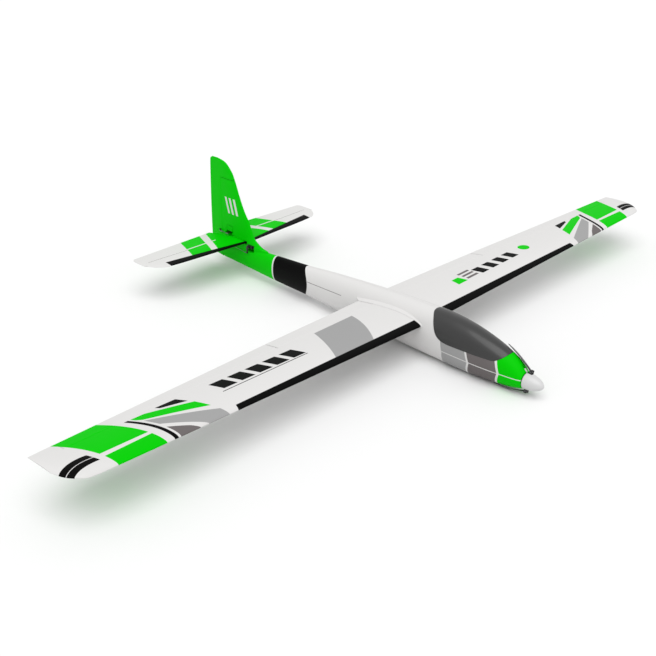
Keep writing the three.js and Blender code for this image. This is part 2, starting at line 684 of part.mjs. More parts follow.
const MAGNET = { y: -115, inFromWall: 3.6, r: 1.8, deep: 3 };
const sillZ = -20;
const magnets = SIDES.map(({ name, sign }) => {
  const [centre, high, wide] = [1, 2, 3].map((c) => along(HULL, MAGNET.y, c));
  const out = wide * Math.sqrt(1 - ((sillZ - centre) / high) ** 2) - MAGNET.inFromWall;
  const at = (z) => vec(sign * out, MAGNET.y, z);
  const { r, deep } = MAGNET;
  return {
    name, upper: rod(at(sillZ + GAP), at(sillZ + deep), r), lower: rod(at(sillZ - deep), at(sillZ - 0.7), r),
    upperRoom: rod(at(sillZ - 1), at(sillZ + deep + 0.3), r + 0.3),
    lowerRoom: rod(at(sillZ - deep - 0.3), at(sillZ + 1), r + 0.3),
  };
});
for (const magnet of magnets) {
  piece(`canopy_magnet_${magnet.name}`, magnet.upper, STEEL);
  piece(`sill_magnet_${magnet.name}`, magnet.lower, STEEL);
}
piece("canopy", cut(canopyBlock, [canopyInside, ...magnets.map((m) => m.upperRoom)]), CHARCOAL);

// Cooling intake cut into the top of the nose.
const intake = rod(vec(4.5, -291, -36), vec(4.5, -284, -20), 2.4, 3, 10);

// The stabilizer's slot through the fin, and behind it the room that the elevator's bridge swings in.
const BRIDGE_ROOM = { front: 790, back: 814, half: 7 };
const stabSlot = union([
  box(vec(-40, 728, TAIL_Z - 4.9), vec(40, 792, TAIL_Z + 4.9)),
  box(
    vec(-40, BRIDGE_ROOM.front, TAIL_Z - BRIDGE_ROOM.half),
    vec(40, BRIDGE_ROOM.back, TAIL_Z + BRIDGE_ROOM.half),
  ),
]);
const belly = box(vec(-80, -320, -140), vec(80, 900, BELLY_Z));
const servoCoverSpace = box(vec(-30, 795.5, 32.5), vec(-5.6, 823, 49));
const shell = cut(union([hull, wingSeat(1), wingSeat(-1), finSolid]), [
  cavity, canopyHole, belly, stabSlot, rudderRoom, joinerRoom, pinRoom, intake,
  elevatorLink.servo, elevatorLink.arm, rudderLink.servo, rudderLink.arm,
  ...magnets.map((m) => m.lowerRoom),
]);
for (const { name, sign } of SIDES) {
  const half = box(vec(Math.min(0, sign * 90), -330, -140), vec(Math.max(0, sign * 90), 960, 260));
  const shift = (sign * GAP) / 2;
  piece(`fuselage_${name}`, shell.intersect(half.translate([shift, 0, 0])), WHITE);
}

// ---------- motor, spinner and folding propeller ----------
const onAxis = (y) => vec(0, y, THRUST_Z);
const axisRod = (fromY, toY, radius, sides = 20) => rod(onAxis(fromY), onAxis(toY), radius, radius, sides);

const MOUNT_Y = -289;
const SHAFT_R = 2.5;
const mountDisc = cavitySlice(vec(0, MOUNT_Y - 3, -90), vec(0, MOUNT_Y, -30));
piece("motor_mount", cut(mountDisc, [axisRod(-310, -280, 6)]), PLYWOOD);
piece("motor_base", cut(axisRod(MOUNT_Y + GAP, -283, 11), [axisRod(-300, -270, SHAFT_R + 0.8)]), BLACK);
const motorCan = cut(axisRod(-282.2, -254, 14, 24), [axisRod(-283, -258, 12.2, 24)]);
const motorShaft = axisRod(-315, -256, SHAFT_R, 12);
piece("motor_can", motorCan.subtract(axisRod(-316, -250, SHAFT_R + GAP, 12)), STEEL);
piece("motor_shaft", motorShaft, STEEL);
const stator = cut(axisRod(-282.6, -259, 11.4), [axisRod(-300, -250, SHAFT_R + 0.8)]);
piece("motor_stator", stator, { color: 0xa8622c, roughness: 0.4, metalness: 0.8 });

// Lathed part about the thrust axis from (radius, y) points.
function turned(profile, segments = 28) {
  const points = profile.map(([r, y]) => new THREE.Vector2(r, y));
  return solid(new THREE.LatheGeometry(points, segments).translate(0, 0, THRUST_Z));
}
const BACKPLATE_R = 19.2;
const plateFront = SPINNER_BACK_Y - 0.6;
piece("spinner_backplate", turned([
  [SHAFT_R + GAP, plateFront], [BACKPLATE_R, plateFront], [BACKPLATE_R, plateFront + 1.4],
  [SHAFT_R + GAP, plateFront + 1.4], [SHAFT_R + GAP, plateFront],
]), BLACK);

const SPINNER_WALL = 1.6;
const spinnerFront = SPINNER_BACK_Y - 0.9;
function spinnerCurve(radius, tipY, steps = 9) {
  return Array.from({ length: steps + 1 }, (_, i) => {
    const angle = (Math.PI / 2) * (i / steps);
    return [radius * Math.cos(angle) ** 1.15, mix(spinnerFront, tipY, Math.sin(angle) ** 0.92)];
  });
}
const spinnerOuter = spinnerCurve(SPINNER_R, NOSE_Y);
const spinnerInner = spinnerCurve(SPINNER_R - SPINNER_WALL, NOSE_Y + 3).reverse();
const spinnerShell = turned([...spinnerOuter, ...spinnerInner, spinnerOuter[0]]);

// Frame of the propeller: outward along a blade, tangential, and aft.
const propOut = vec(Math.sin(PROP_TURN), 0, Math.cos(PROP_TURN));
const propSide = vec(Math.cos(PROP_TURN), 0, -Math.sin(PROP_TURN));
const propAft = vec(0, 1, 0);
function propBox(low, high) {
  const geometry = new THREE.BoxGeometry(high.x - low.x, high.y - low.y, high.z - low.z);
  const middle = high.clone().add(low).multiplyScalar(0.5);
  geometry.translate(middle.x, middle.y, middle.z);
  const turn = new THREE.Matrix4().makeBasis(propOut, propSide, propAft.clone());
  return solid(geometry.applyMatrix4(turn.setPosition(onAxis(0))));
}
const YOKE = { reach: 29.4, half: 5.4, front: -312.5, back: -304.5 };
const slots = [1, -1].map((end) => propBox(
  vec(end > 0 ? 9 : -32, -6.6, -314.5), vec(end > 0 ? 32 : -9, 6.6, -299),
));
piece("spinner_cone", cut(spinnerShell, slots), WHITE);

const EYE = { r: 3.7, half: 2.9 };
const SCREW_R = 1.4;
const pivots = [
  { name: "upper", out: propOut, fold: BLADE_FOLD_TOP, end: 1 },
  { name: "lower", out: propOut.clone().negate(), fold: BLADE_FOLD_LOW, end: -1 },
].map((blade) => {
  const pivot = onAxis(BLADE_PIVOT_Y).addScaledVector(blade.out, BLADE_PIVOT_R);
  const pin = (radius, reach) => rod(
    pivot.clone().addScaledVector(propSide, -reach), pivot.clone().addScaledVector(propSide, reach),
    radius,
  );
  return { ...blade, pivot, pin };
});
const forks = pivots.map(({ end }) => propBox(
  vec(end > 0 ? 19 : -31, -EYE.half - GAP, -315), vec(end > 0 ? 31 : -19, EYE.half + GAP, -299),
));
const yokeBar = propBox(
  vec(-YOKE.reach, -YOKE.half, YOKE.front), vec(YOKE.reach, YOKE.half, YOKE.back),
);
piece("prop_yoke", cut(yokeBar.add(axisRod(-314.5, -304.5, 7, 16)), [
  ...forks, axisRod(-320, -300, SHAFT_R + GAP, 12), ...pivots.map(({ pin }) => pin(SCREW_R + 0.2, 8)),
]), BLACK);

// Distance along the blade, half chord, half thickness, twist in degrees
const BLADE = [
  [0, 2.9, 2.6, 0], [7, 3.1, 2.4, 3], [14, 4.8, 2.1, 10], [24, 7.2, 1.7, 14], [38, 8.8, 1.35, 13],
  [56, 8.4, 1.05, 11], [73, 6.6, 0.8, 9], [86, 4.6, 0.6, 8], [90.5, 3.3, 0.5, 7], [93, 1.7, 0.35, 7],
];
const BLADE_POINTS = 10;
function bladeSolid({ out, fold, pivot, end }) {
  const axis = propAft.clone().multiplyScalar(Math.cos(fold)).addScaledVector(out, Math.sin(fold));
  const face = out.clone().multiplyScalar(Math.cos(fold)).addScaledVector(propAft, -Math.sin(fold));
  const side = propSide.clone().multiplyScalar(end);
  const rings = BLADE.map(([l, chord, thick, twist]) => {
    const angle = -THREE.MathUtils.degToRad(twist);
    const middle = pivot.clone().addScaledVector(axis, l).addScaledVector(face, -BLADE_BOW * l * l);
    return Array.from({ length: BLADE_POINTS }, (_, i) => {
      const around = (2 * Math.PI * i) / BLADE_POINTS;
      const [c, h] = [chord * Math.cos(around), thick * Math.sin(around)];
      return middle.clone()
        .addScaledVector(side, c * Math.cos(angle) - h * Math.sin(angle))
        .addScaledVector(face, c * Math.sin(angle) + h * Math.cos(angle));
    });
  });
  const eye = rod(
    pivot.clone().addScaledVector(side, -EYE.half), pivot.clone().addScaledVector(side, EYE.half),
    EYE.r, EYE.r, 14,
  );
  return solid(loft(rings)).add(eye);
}
for (const blade of pivots) {
  piece(`prop_blade_${blade.name}`, bladeSolid(blade).subtract(blade.pin(SCREW_R + 0.3, 8)), BLACK);
  const head = rod(
    blade.pivot.clone().addScaledVector(propSide, YOKE.half + 0.2),
    blade.pivot.clone().addScaledVector(propSide, YOKE.half + 1.6), 2.6, 2.6, 10,
  );
  piece(`blade_screw_${blade.name}`, blade.pin(SCREW_R, YOKE.half + 0.6).add(head), STEEL);
}

// ---------- power and radio gear on the tray ----------
const TRAY = { front: -236, back: -8, low: -68.5, high: -66 };
const BATTERY = { front: -222, back: -108, half: 17.5, low: TRAY.high + GAP, high: -39.5 };
const STRAP = { y: -165, half: 8, thick: 1, side: BATTERY.half + GAP };
const strapSlots = SIDES.map(({ sign }) => box(
  vec(sign > 0 ? STRAP.side - 0.4 : -STRAP.side - 2.4, STRAP.y - STRAP.half - 1, -72),
  vec(sign > 0 ? STRAP.side + 2.4 : -STRAP.side + 0.4, STRAP.y + STRAP.half + 1, -60),
));
const trayPlate = cavitySlice(vec(0, TRAY.front, TRAY.low), vec(0, TRAY.back, TRAY.high));
piece("battery_tray", cut(trayPlate, strapSlots), PLYWOOD);
piece("battery_pack", box(
  vec(-BATTERY.half, BATTERY.front, BATTERY.low), vec(BATTERY.half, BATTERY.back, BATTERY.high),
), BLUE);
const strapInside = box(
  vec(-STRAP.side, STRAP.y - 20, TRAY.low - GAP), vec(STRAP.side, STRAP.y + 20, BATTERY.high + GAP),
);
const strapOutside = box(
  vec(-STRAP.side - STRAP.thick, STRAP.y - STRAP.half, TRAY.low - GAP - STRAP.thick),
  vec(STRAP.side + STRAP.thick, STRAP.y + STRAP.half, BATTERY.high + GAP + STRAP.thick),
);
piece("battery_strap", strapOutside.subtract(strapInside), BLACK);
piece("receiver", box(vec(-11, -70, TRAY.high + GAP), vec(11, -26, TRAY.high + 14)), BLACK);
piece("esc", box(vec(-12, -224, -80), vec(12, -177, TRAY.low - 2.5)), BLACK);

// Foam cover over the rudder servo, flush with the fin's right side.
const coverBlock = finSolid.intersect(servoCoverSpace);
piece("rudder_servo_cover", coverBlock, GREEN);

export default model;
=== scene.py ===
import bisect
import json
import math

import bpy
import numpy as np
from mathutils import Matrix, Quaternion, Vector


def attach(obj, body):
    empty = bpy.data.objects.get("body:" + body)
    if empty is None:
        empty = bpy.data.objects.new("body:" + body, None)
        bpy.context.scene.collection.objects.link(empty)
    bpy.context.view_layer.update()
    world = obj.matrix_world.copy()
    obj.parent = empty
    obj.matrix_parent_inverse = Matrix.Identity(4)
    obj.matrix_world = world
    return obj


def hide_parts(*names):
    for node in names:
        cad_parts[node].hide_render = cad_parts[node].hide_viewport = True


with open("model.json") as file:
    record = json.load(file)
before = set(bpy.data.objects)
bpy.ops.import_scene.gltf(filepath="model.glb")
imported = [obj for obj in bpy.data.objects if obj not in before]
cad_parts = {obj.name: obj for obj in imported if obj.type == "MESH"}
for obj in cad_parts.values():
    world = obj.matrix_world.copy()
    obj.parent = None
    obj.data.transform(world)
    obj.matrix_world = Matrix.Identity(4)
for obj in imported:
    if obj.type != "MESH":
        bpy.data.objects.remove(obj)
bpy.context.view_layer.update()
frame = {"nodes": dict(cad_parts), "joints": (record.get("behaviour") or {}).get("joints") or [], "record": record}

# Shapes are worked out in millimetres from the wing root: y = 0 on its leading edge, z = 0 on its
# chord plane, +X to port, nose towards -Y. SHIFT and MM take them to the CAD model's frame, which
# is in metres.
MM = 0.001
SHIFT = np.array([0.0, -276.5, 95.0])
DIHEDRAL = math.tan(math.radians(1.77))
HINGE_GAP = 0.6
TRAILING_EDGE = 0.7
THRUST_Z = -57.0
TAIL_Z = 15.0
SIDES = {"left": 1, "right": -1}
BELLY_Z = -95
SHARP_ANGLE = math.radians(32)
BEVEL_ANGLE = math.radians(38)
# Axes of an outline drawn in side view, for prism.
SIDE_VIEW = ((0, 1, 0), (0, 0, 1), (1, 0, 0))


# ---------- tables and meshes ----------
def smooth(rows, t, column=1):
    """A table's value at t, on a curve through its rows that never overshoots them."""
    xs = [row[0] for row in rows]
    ys = [row[column] for row in rows]
    if t <= xs[0]:
        return ys[0]
    if t >= xs[-1]:
        return ys[-1]
    i = bisect.bisect_right(xs, t) - 1
    step = [(ys[k + 1] - ys[k]) / (xs[k + 1] - xs[k]) for k in range(len(xs) - 1)]

    def slope(k):
        if k == 0 or k == len(xs) - 1:
            return step[min(k, len(step) - 1)]
        a, b = step[k - 1], step[k]
        return 0.0 if a * b <= 0 else 2 * a * b / (a + b)

    width = xs[i + 1] - xs[i]
    s = (t - xs[i]) / width
    return (
        ys[i] * (1 + 2 * s) * (1 - s) ** 2
        + ys[i + 1] * s * s * (3 - 2 * s)
        + width * s * (1 - s) * (slope(i) * (1 - s) - slope(i + 1) * s)
    )


def straight(rows, t, column=1):
    return float(np.interp(t, [row[0] for row in rows], [row[column] for row in rows]))


def stations(low, high, step, marks=()):
    """Evenly spaced numbers from low to high that also hold the marks."""
    count = max(1, round((high - low) / step))
    even = [low + (high - low) * i / count for i in range(count + 1)]
    kept = [m for m in marks if low < m < high]
    near = [e for e in even[1:-1] if all(abs(e - m) > step * 0.3 for m in kept)]
    return sorted([low, high, *near, *kept])


def new_object(name, points, faces):
    mesh = bpy.data.meshes.new(name)
    place = (np.asarray(points, float).reshape(-1, 3) + SHIFT) * MM
    mesh.from_pydata(place.tolist(), [], faces)
    made = bpy.data.objects.new(name, mesh)
    bpy.context.scene.collection.objects.link(made)
    return made


def outward(made):
    """Turns every face of a closed mesh outwards."""
    mesh = made.data
    mesh.calc_loop_triangles()
    co = np.array([v.co for v in mesh.vertices], float).reshape(-1, 3)
    co = co - co.mean(0)
    tri = np.array([t.vertices for t in mesh.loop_triangles], int).reshape(-1, 3)
    volume = np.einsum("ij,ij->i", co[tri[:, 0]], np.cross(co[tri[:, 1]], co[tri[:, 2]])).sum()
    if volume < 0:
        mesh.flip_normals()
    return made


def loft(name, rings):
    """A closed skin through rings of equally many points."""
    count = len(rings[0])
    faces = []
    for r in range(len(rings) - 1):
        for i in range(count):
            j = (i + 1) % count
            a, b = r * count, (r + 1) * count
            faces.append((a + i, a + j, b + j, b + i))
    last = (len(rings) - 1) * count
    faces.append(tuple(range(count))[::-1])
    faces.append(tuple(last + i for i in range(count)))
    return outward(new_object(name, rings, faces))


def prism(outline, origin, axes, low, high):
    """A flat outline of (a, b) points along axes[0] and axes[1], from low to high along axes[2]."""
    a_axis, b_axis, c_axis = (np.asarray(axis, float) for axis in axes)
    start = np.asarray(origin, float)
    rings = [
        [start + a_axis * a + b_axis * b + c_axis * c for a, b in outline] for c in (low, high)
    ]
    return loft("tool", rings)


def box(low, high):
    outline = [(low[0], low[1]), (high[0], low[1]), (high[0], high[1]), (low[0], high[1])]
    return prism(outline, (0, 0, 0), np.eye(3), low[2], high[2])


def tube(start, end, radius, end_radius=None, sides=48):
    """A solid rod, or a cone if the radii differ."""
    start, end = np.asarray(start, float), np.asarray(end, float)
    way = (end - start) / np.linalg.norm(end - start)
    side = np.cross(way, (0.3, 0.2, 1.0))
    side /= np.linalg.norm(side)
    up = np.cross(way, side)
    turns = [2 * math.pi * i / sides for i in range(sides)]
    radii = (radius, radius if end_radius is None else end_radius)
    rings = [
        [at + (side * math.cos(t) + up * math.sin(t)) * r for t in turns]
        for at, r in zip((start, end), radii)
    ]
    return loft("tool", rings)


def lathe(name, profile, sides=96):
    """A closed profile of (radius, y) points turned about the thrust line."""
    rings = []
    for i in range(sides):
        t = 2 * math.pi * i / sides
        rings.append([(r * math.sin(t), y, THRUST_Z + r * math.cos(t)) for r, y in profile])
    count = len(profile)
    faces = []
    for r in range(sides):
        a, b = r * count, ((r + 1) % sides) * count
        for i in range(count):
            j = (i + 1) % count
            faces.append((a + i, a + j, b + j, b + i))
    return outward(new_object(name, rings, faces))


def carve(made, tools, operation="DIFFERENCE"):
    """Cuts, joins or keeps what is common, in order, and removes the tools."""
    for tool in tools:
        change = made.modifiers.new("carve", "BOOLEAN")
        change.operation = operation
        change.solver = "MANIFOLD"
        change.object = tool
    graph = bpy.context.evaluated_depsgraph_get()
    result = bpy.data.meshes.new_from_object(made.evaluated_get(graph))
    made.modifiers.clear()
    made.data = result
    for tool in tools:
        bpy.data.objects.remove(tool)


def copy_of(made, name):
    twin = made.copy()
    twin.data = made.data.copy()
    twin.name = name
    bpy.context.scene.collection.objects.link(twin)
    return twin


def soften(made, width):
    """Rounds the edges that turn more than BEVEL_ANGLE."""
    change = made.modifiers.new("rounded", "BEVEL")
    change.width = width * MM
    change.segments = 3
    change.limit_method = "ANGLE"
    change.angle_limit = BEVEL_ANGLE
    change.harden_normals = False


def settle(made, body, stands_for, material):
    """Gives a finished piece its shading, its material and its body, and hides the CAD nodes it stands for."""
    made.data.shade_smooth()
    made.data.set_sharp_from_angle(angle=SHARP_ANGLE)
    made.data.materials.clear()
    made.data.materials.append(material)
    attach(made, body)
    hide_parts(*stands_for)


# ---------- materials ----------
def linear(r, g, b):
    """Shader colour of an sRGB colour given as 0 to 255."""
    values = [v / 255 for v in (r, g, b)]
    return (*(v / 12.92 if v < 0.04045 else ((v + 0.055) / 1.055) ** 2.4 for v in values), 1.0)


PAINT = {
    "white": linear(208, 207, 206),
    "green": linear(0, 189, 0),
    "black": linear(3, 3, 3),
    "light_grey": linear(151, 151, 151),
    "dark_grey": linear(104, 99, 99),
}


class Num:
    """A number that a material works out at each point of the surface."""

    def __init__(self, tree, value):
        self.tree = tree
        self.value = value

    def math(self, operation, *others):
        node = self.tree.nodes.new("ShaderNodeMath")
        node.operation = operation
        for socket, item in zip(node.inputs, (self, *others)):
            value = item.value if isinstance(item, Num) else item
            if isinstance(value, (int, float)):
                socket.default_value = value
            else:
                self.tree.links.new(value, socket)
        return Num(self.tree, node.outputs[0])

    def __add__(self, other):
        return self.math("ADD", other)

    def __sub__(self, other):
        return self.math("SUBTRACT", other)

    def __mul__(self, other):
        return self.math("MULTIPLY", other)

    def size(self):
        return self.math("ABSOLUTE")

    def over(self, other):
        return self.math("GREATER_THAN", other)

    def under(self, other):
        return self.math("LESS_THAN", other)

    def within(self, low, high):
        return self.over(low) * self.under(high)

    def either(self, other):
        return self.math("MAXIMUM", other)

    def without(self, other):
        return self * (other * -1.0 + 1.0)


def curve(y, points):
    """The x at y on a parabola through three (x, y) points."""
    (x0, y0), (x1, y1), (x2, y2) = points
    a, b, c = np.linalg.solve([[y0 * y0, y0, 1], [y1 * y1, y1, 1], [y2 * y2, y2, 1]], [x0, x1, x2])
    return (y * float(a) + float(b)) * y + float(c)


def line(y, start, end):
    """The x at y on a straight line through two (x, y) points."""
    (x0, y0), (x1, y1) = start, end
    slope = (x1 - x0) / (y1 - y0)
    return y * slope + (x0 - slope * y0)


def inside(x, y, corners):
    """Inside a convex outline given anticlockwise."""
    mask = None
    for (x0, y0), (x1, y1) in zip(corners, corners[1:] + corners[:1]):
        side = (y - y0) * (x1 - x0) - (x - x0) * (y1 - y0)
        mask = side.over(0.0) if mask is None else mask * side.over(0.0)
    return mask


def shader(name, roughness, metallic=0.0, coat=0.0, sheen=0.0, gloss=0.5):
    material = bpy.data.materials.new(name)
    material.use_nodes = True
    surface = material.node_tree.nodes["Principled BSDF"]
    surface.inputs["Roughness"].default_value = roughness
    surface.inputs["Metallic"].default_value = metallic
    surface.inputs["Specular IOR Level"].default_value = gloss
    surface.inputs["Coat Weight"].default_value = coat
    surface.inputs["Coat Roughness"].default_value = 0.12
    surface.inputs["Sheen Weight"].default_value = sheen
    return material, material.node_tree, surface


def coordinates(tree):
    """x, y and z of the surface in the airframe's millimetres, and the height of its normal."""
    place = tree.nodes.new("ShaderNodeTexCoord")
    parts = tree.nodes.new("ShaderNodeSeparateXYZ")
    tree.links.new(place.outputs["Object"], parts.inputs[0])
    axes = [Num(tree, out) * 1000.0 - float(s) for out, s in zip(parts.outputs, SHIFT)]
    turned = tree.nodes.new("ShaderNodeSeparateXYZ")
    tree.links.new(place.outputs["Normal"], turned.inputs[0])
    return (*axes, Num(tree, turned.outputs[2]))


def colour_in(tree, surface, ground, layers):
    """Paints layers of (mask, colour) over the ground colour, in order."""
    current = None
    for mask, colour in layers:
        blend = tree.nodes.new("ShaderNodeMix")
        blend.data_type = "RGBA"
        tree.links.new(mask.value, blend.inputs["Factor"])
        if current is None:
            blend.inputs["A"].default_value = ground
        else:
            tree.links.new(current, blend.inputs["A"])
        blend.inputs["B"].default_value = colour
        current = blend.outputs["Result"]
    tree.links.new(current, surface.inputs["Base Color"])


def grain(tree, surface, scale, strength, kind="noise", distance=0.0002, stretch=(1, 1, 1)):
    """A fine relief on the surface; scale is in features per metre."""
    place = tree.nodes.new("ShaderNodeTexCoord")
    mapping = tree.nodes.new("ShaderNodeMapping")
    mapping.inputs["Scale"].default_value = stretch
    tree.links.new(place.outputs["Object"], mapping.inputs["Vector"])
    if kind == "cells":
        texture = tree.nodes.new("ShaderNodeTexVoronoi")
        out = texture.outputs["Distance"]
    elif kind == "bands":
        texture = tree.nodes.new("ShaderNodeTexWave")
        out = texture.outputs["Fac"]
    else:
        texture = tree.nodes.new("ShaderNodeTexNoise")
        out = texture.outputs["Fac"]
    texture.inputs["Scale"].default_value = scale
    tree.links.new(mapping.outputs["Vector"], texture.inputs["Vector"])
    relief = tree.nodes.new("ShaderNodeBump")
    relief.inputs["Strength"].default_value = strength
    relief.inputs["Distance"].default_value = distance
    tree.links.new(out, relief.inputs["Height"])
    tree.links.new(relief.outputs["Normal"], surface.inputs["Normal"])
    return out


def mottled(name, first, second, scale, roughness, kind="noise", strength=0.15, **settings):
    """A material whose colour and relief follow one texture between two colours."""
    stretch = settings.pop("stretch", (1, 1, 1))
    distance = settings.pop("distance", 0.0002)
    material, tree, surface = shader(name, roughness, **settings)
    out = grain(tree, surface, scale, strength, kind, distance, stretch)
    colour_in(tree, surface, first, [(Num(tree, out), second)])
    return material


def foam_grain(tree, surface):
    grain(tree, surface, 420.0, 0.05, "cells", 0.0001)


def bars(x, y, first, step, count, wide, low, high, lean):
    """A row of equal slanted bars; first and step place them along x."""
    place = x - (y - low) * lean
    along = (place - first) * (1.0 / step)
    share = along.math("FRACT")
    return share.under(wide / step) * along.within(0.0, float(count)) * y.within(low, high)


def wing_paint():
    material, tree, surface = shader("wing_paint", 0.5, gloss=0.05)
    x, y, _, up = coordinates(tree)
    out = x.size()
    top = up.over(0.0)
    port, starboard = x.over(0.0) * top, x.under(0.0) * top
    edge = line(y, (669, 5), (673, -13))
    lead = out.under(edge) * (out * (13 / 616) + y).under(24.0)
    band_in = curve(y, [(933, 156), (877, 44), (863, -5)])
    band_out = curve(y, [(1046, 146), (997, 43), (983, -6)])
    stripe = y.over(out * -0.045 + 74.0) * y.under(out * -0.012 + 53.6)
    band = out.over(band_in) * out.under(band_out)
    arc = curve(y, [(879, 112), (844, 37), (833, -8)])
    black_arc = out.over(arc) * out.under(arc + 10.0) * y.under(113.0)
    short = out.under(arc - 6.0)
    green_bar = inside(out, y, [(713, 40), (856, 92), (880, 113), (837, 113), (729, 77)])
    grey_bar = inside(out, y, [(692, -14), (735, -14), (841, 52), (857, 87), (704, 19)])
    dark_bar = inside(out, y, [(762, -14), (830, -14), (840, 36), (793, 10)])
    corner = inside(out, y, [(737, 90), (799, 108), (806, 118), (751, 118)])
    tip_low = curve(out, [(25, 1005), (22, 1050), (6, 1092)])
    tip_high = curve(out, [(55, 1015), (54, 1060), (38, 1100)])
    tip_line = (tip_low + tip_high) * 0.5
    tip = y.over(tip_low) * y.under(tip_high) * out.over(line(y, (1006, 25), (1018, 55)))
    tip_thread = (y - tip_line).size().under(0.8)
    panel_in = curve(y, [(147, 155), (166, 98), (204, 26)])
    panel_out = curve(y, [(292, 150), (318, 82), (345, 20)])
    panel_back = y.under(out * -0.055 + 161.0)
    panel = out.over(panel_in) * out.under(panel_out) * panel_back * starboard
    marks = bars(out, y, 388.0, 54.0, 5, 40.0, 77.0, 117.0, 0.35) * starboard
    under_line = out.within(387.0, 656.0) * (y - (out * -0.02 + 80.0)).size().under(1.2) * starboard
    port_marks = bars(out, y, 306.0, 48.0, 4, 30.0, 66.0, 104.0, -0.2) * port
    grey_marks = bars(y, out, 72.0, 17.0, 3, 9.0, 246.0, 294.0, 0.0) * port
    green_mark = inside(out, y, [(198, 68), (238, 68), (232, 100), (204, 100)]) * port
    spot = (out - 536.0) * (out - 536.0) + (y - 88.0) * (y - 88.0)
    green_spot = spot.under(18.0**2) * port
    colour_in(
        tree,
        surface,
        PAINT["white"],
        [
            (panel, PAINT["light_grey"]),
            (band.without(stripe), PAINT["green"]),
            (green_bar * short, PAINT["green"]),
            (grey_bar * short, PAINT["light_grey"]),
            (dark_bar * short, PAINT["dark_grey"]),
            (corner, PAINT["black"]),
            (black_arc, PAINT["black"]),
            (tip, PAINT["black"]),
            (tip * tip_thread, PAINT["white"]),
            (lead, PAINT["black"]),
            (marks.either(under_line), PAINT["black"]),
            (port_marks, PAINT["black"]),
            (grey_marks, PAINT["dark_grey"]),
            (green_mark.either(green_spot), PAINT["green"]),
        ],
    )
    foam_grain(tree, surface)
    return material


def tail_paint():
    material, tree, surface = shader("tail_paint", 0.5, gloss=0.05)
    x, y, _, _ = coordinates(tree)
    out = x.size()
    front = line(y, (197, 752), (153, 875))
    green = out.under(front)
    white_low = line(y, (108, 745), (52, 875))
    white_band = out.over(white_low) * out.under(line(y, (130, 745), (78, 875)))
    cross = y.within(808.0, 813.0) * out.over(66.0)
    thread = (y - (out * 0.05 + 797.0)).size().under(0.7) * out.over(front) * out.under(318.0)
    lead = y.under(out * 0.137 + 738.5) * out.under(282.0)
    colour_in(
        tree,
        surface,
        PAINT["white"],
        [
            (green.without(white_band), PAINT["green"]),
            (green * cross, PAINT["white"]),
            (thread, PAINT["dark_grey"]),
            (lead, PAINT["black"]),
        ],
    )
    foam_grain(tree, surface)
    return material


def fuselage_paint():
    material, tree, surface = shader("fuselage_paint", 0.5, gloss=0.05)
    x, y, z, _ = coordinates(tree)
    low = z.under(24.0)
    bulge = (z + 31.0) * (z + 31.0)
    black = y.over(bulge * 0.012 + 446.0) * y.under(600.0) * low
    white_ring = y.within(600.0, 606.0)
    green_tail = y.over(606.0)
    above = z + 49.0
    bend = above.math("MAXIMUM", 0.0) * 0.3 + (above * -1.0).math("MAXIMUM", 0.0) * 0.3
    light = y.under(bend * 0.5 - 71.0) * y.over(bend - 150.0)
    dark = y.under(bend - 156.0) * y.over(bend - 236.0)
    nose = y.under(bend - 242.0)
    pin = (z - (y * 0.028 - 42.6)).size().under(1.1) * y.under(-66.0)
    thread = (z - (y * -0.05 + 2.0)).size().under(0.8) * y.within(300.0, 446.0)
    marks = bars(y, z, 768.0, 19.0, 3, 9.0, 90.0, 140.0, 0.3)
    gutter = (x - 4.5).size().under(3.2) * y.within(-299.0, -290.5) * z.over(-44.0)
    colour_in(
        tree,
        surface,
        PAINT["white"],
        [
            (light, PAINT["light_grey"]),
            (dark, PAINT["dark_grey"]),
            (nose, PAINT["green"]),
            (pin, PAINT["white"]),
            (gutter, PAINT["white"]),
            (black, PAINT["black"]),
            (thread, PAINT["dark_grey"]),
            (white_ring, PAINT["white"]),
            (green_tail, PAINT["green"]),
            (marks, PAINT["white"]),
        ],
    )
    foam_grain(tree, surface)
    return material


def plain(name, colour, roughness, **settings):
    """A moulded material with a faint relief."""
    darker = (*(c * 0.86 for c in colour[:3]), 1.0)
    relief = {"strength": 0.04, "distance": 0.00005}
    return mottled(name, colour, darker, 900.0, roughness, **{**relief, **settings})


wing_look = wing_paint()
tail_look = tail_paint()
hull_look = fuselage_paint()
green_look, green_tree, green_surface = shader("green_paint", 0.5, gloss=0.05)
green_surface.inputs["Base Color"].default_value = PAINT["green"]
foam_grain(green_tree, green_surface)
LOOKS = {
    "canopy_charcoal": plain("canopy_satin", linear(40, 40, 40), 0.38, coat=0.25),
    "spinner_white": plain("spinner_gloss", linear(203, 203, 203), 0.35, coat=0.2),
    "black_plastic": plain("black_nylon", linear(24, 24, 26), 0.42),
    "blade": plain("blade_gloss", linear(16, 16, 17), 0.3, coat=0.3),
    "steel": mottled("ground_steel", linear(128, 130, 134), linear(104, 106, 110), 1400.0, 0.34,
                     metallic=1.0, strength=0.03, distance=0.00003),
    "carbon": mottled("carbon_tube", linear(22, 22, 24), linear(40, 40, 43), 260.0, 0.3, "bands",
                      strength=0.08, coat=0.4, distance=0.00005),
    "plywood": mottled("birch_plywood", linear(205, 168, 118), linear(176, 134, 86), 90.0, 0.66,
                       strength=0.12, stretch=(9, 1, 9)),
    "battery_wrap": mottled("shrink_wrap", linear(28, 62, 150), linear(20, 46, 120), 70.0, 0.32,
                            strength=0.25, coat=0.3, distance=0.0004),
    "strap_webbing": mottled("hook_and_loop", linear(22, 22, 24), linear(52, 52, 55), 900.0, 0.9,
                             "cells", strength=0.6, sheen=0.4),
    "copper_windings": mottled("copper_wire", linear(196, 112, 58), linear(120, 60, 28), 520.0,
                               0.36, "bands", metallic=0.9, strength=0.8, distance=0.0003),
}


# ---------- wings ----------
WING_ROOT_X = 48
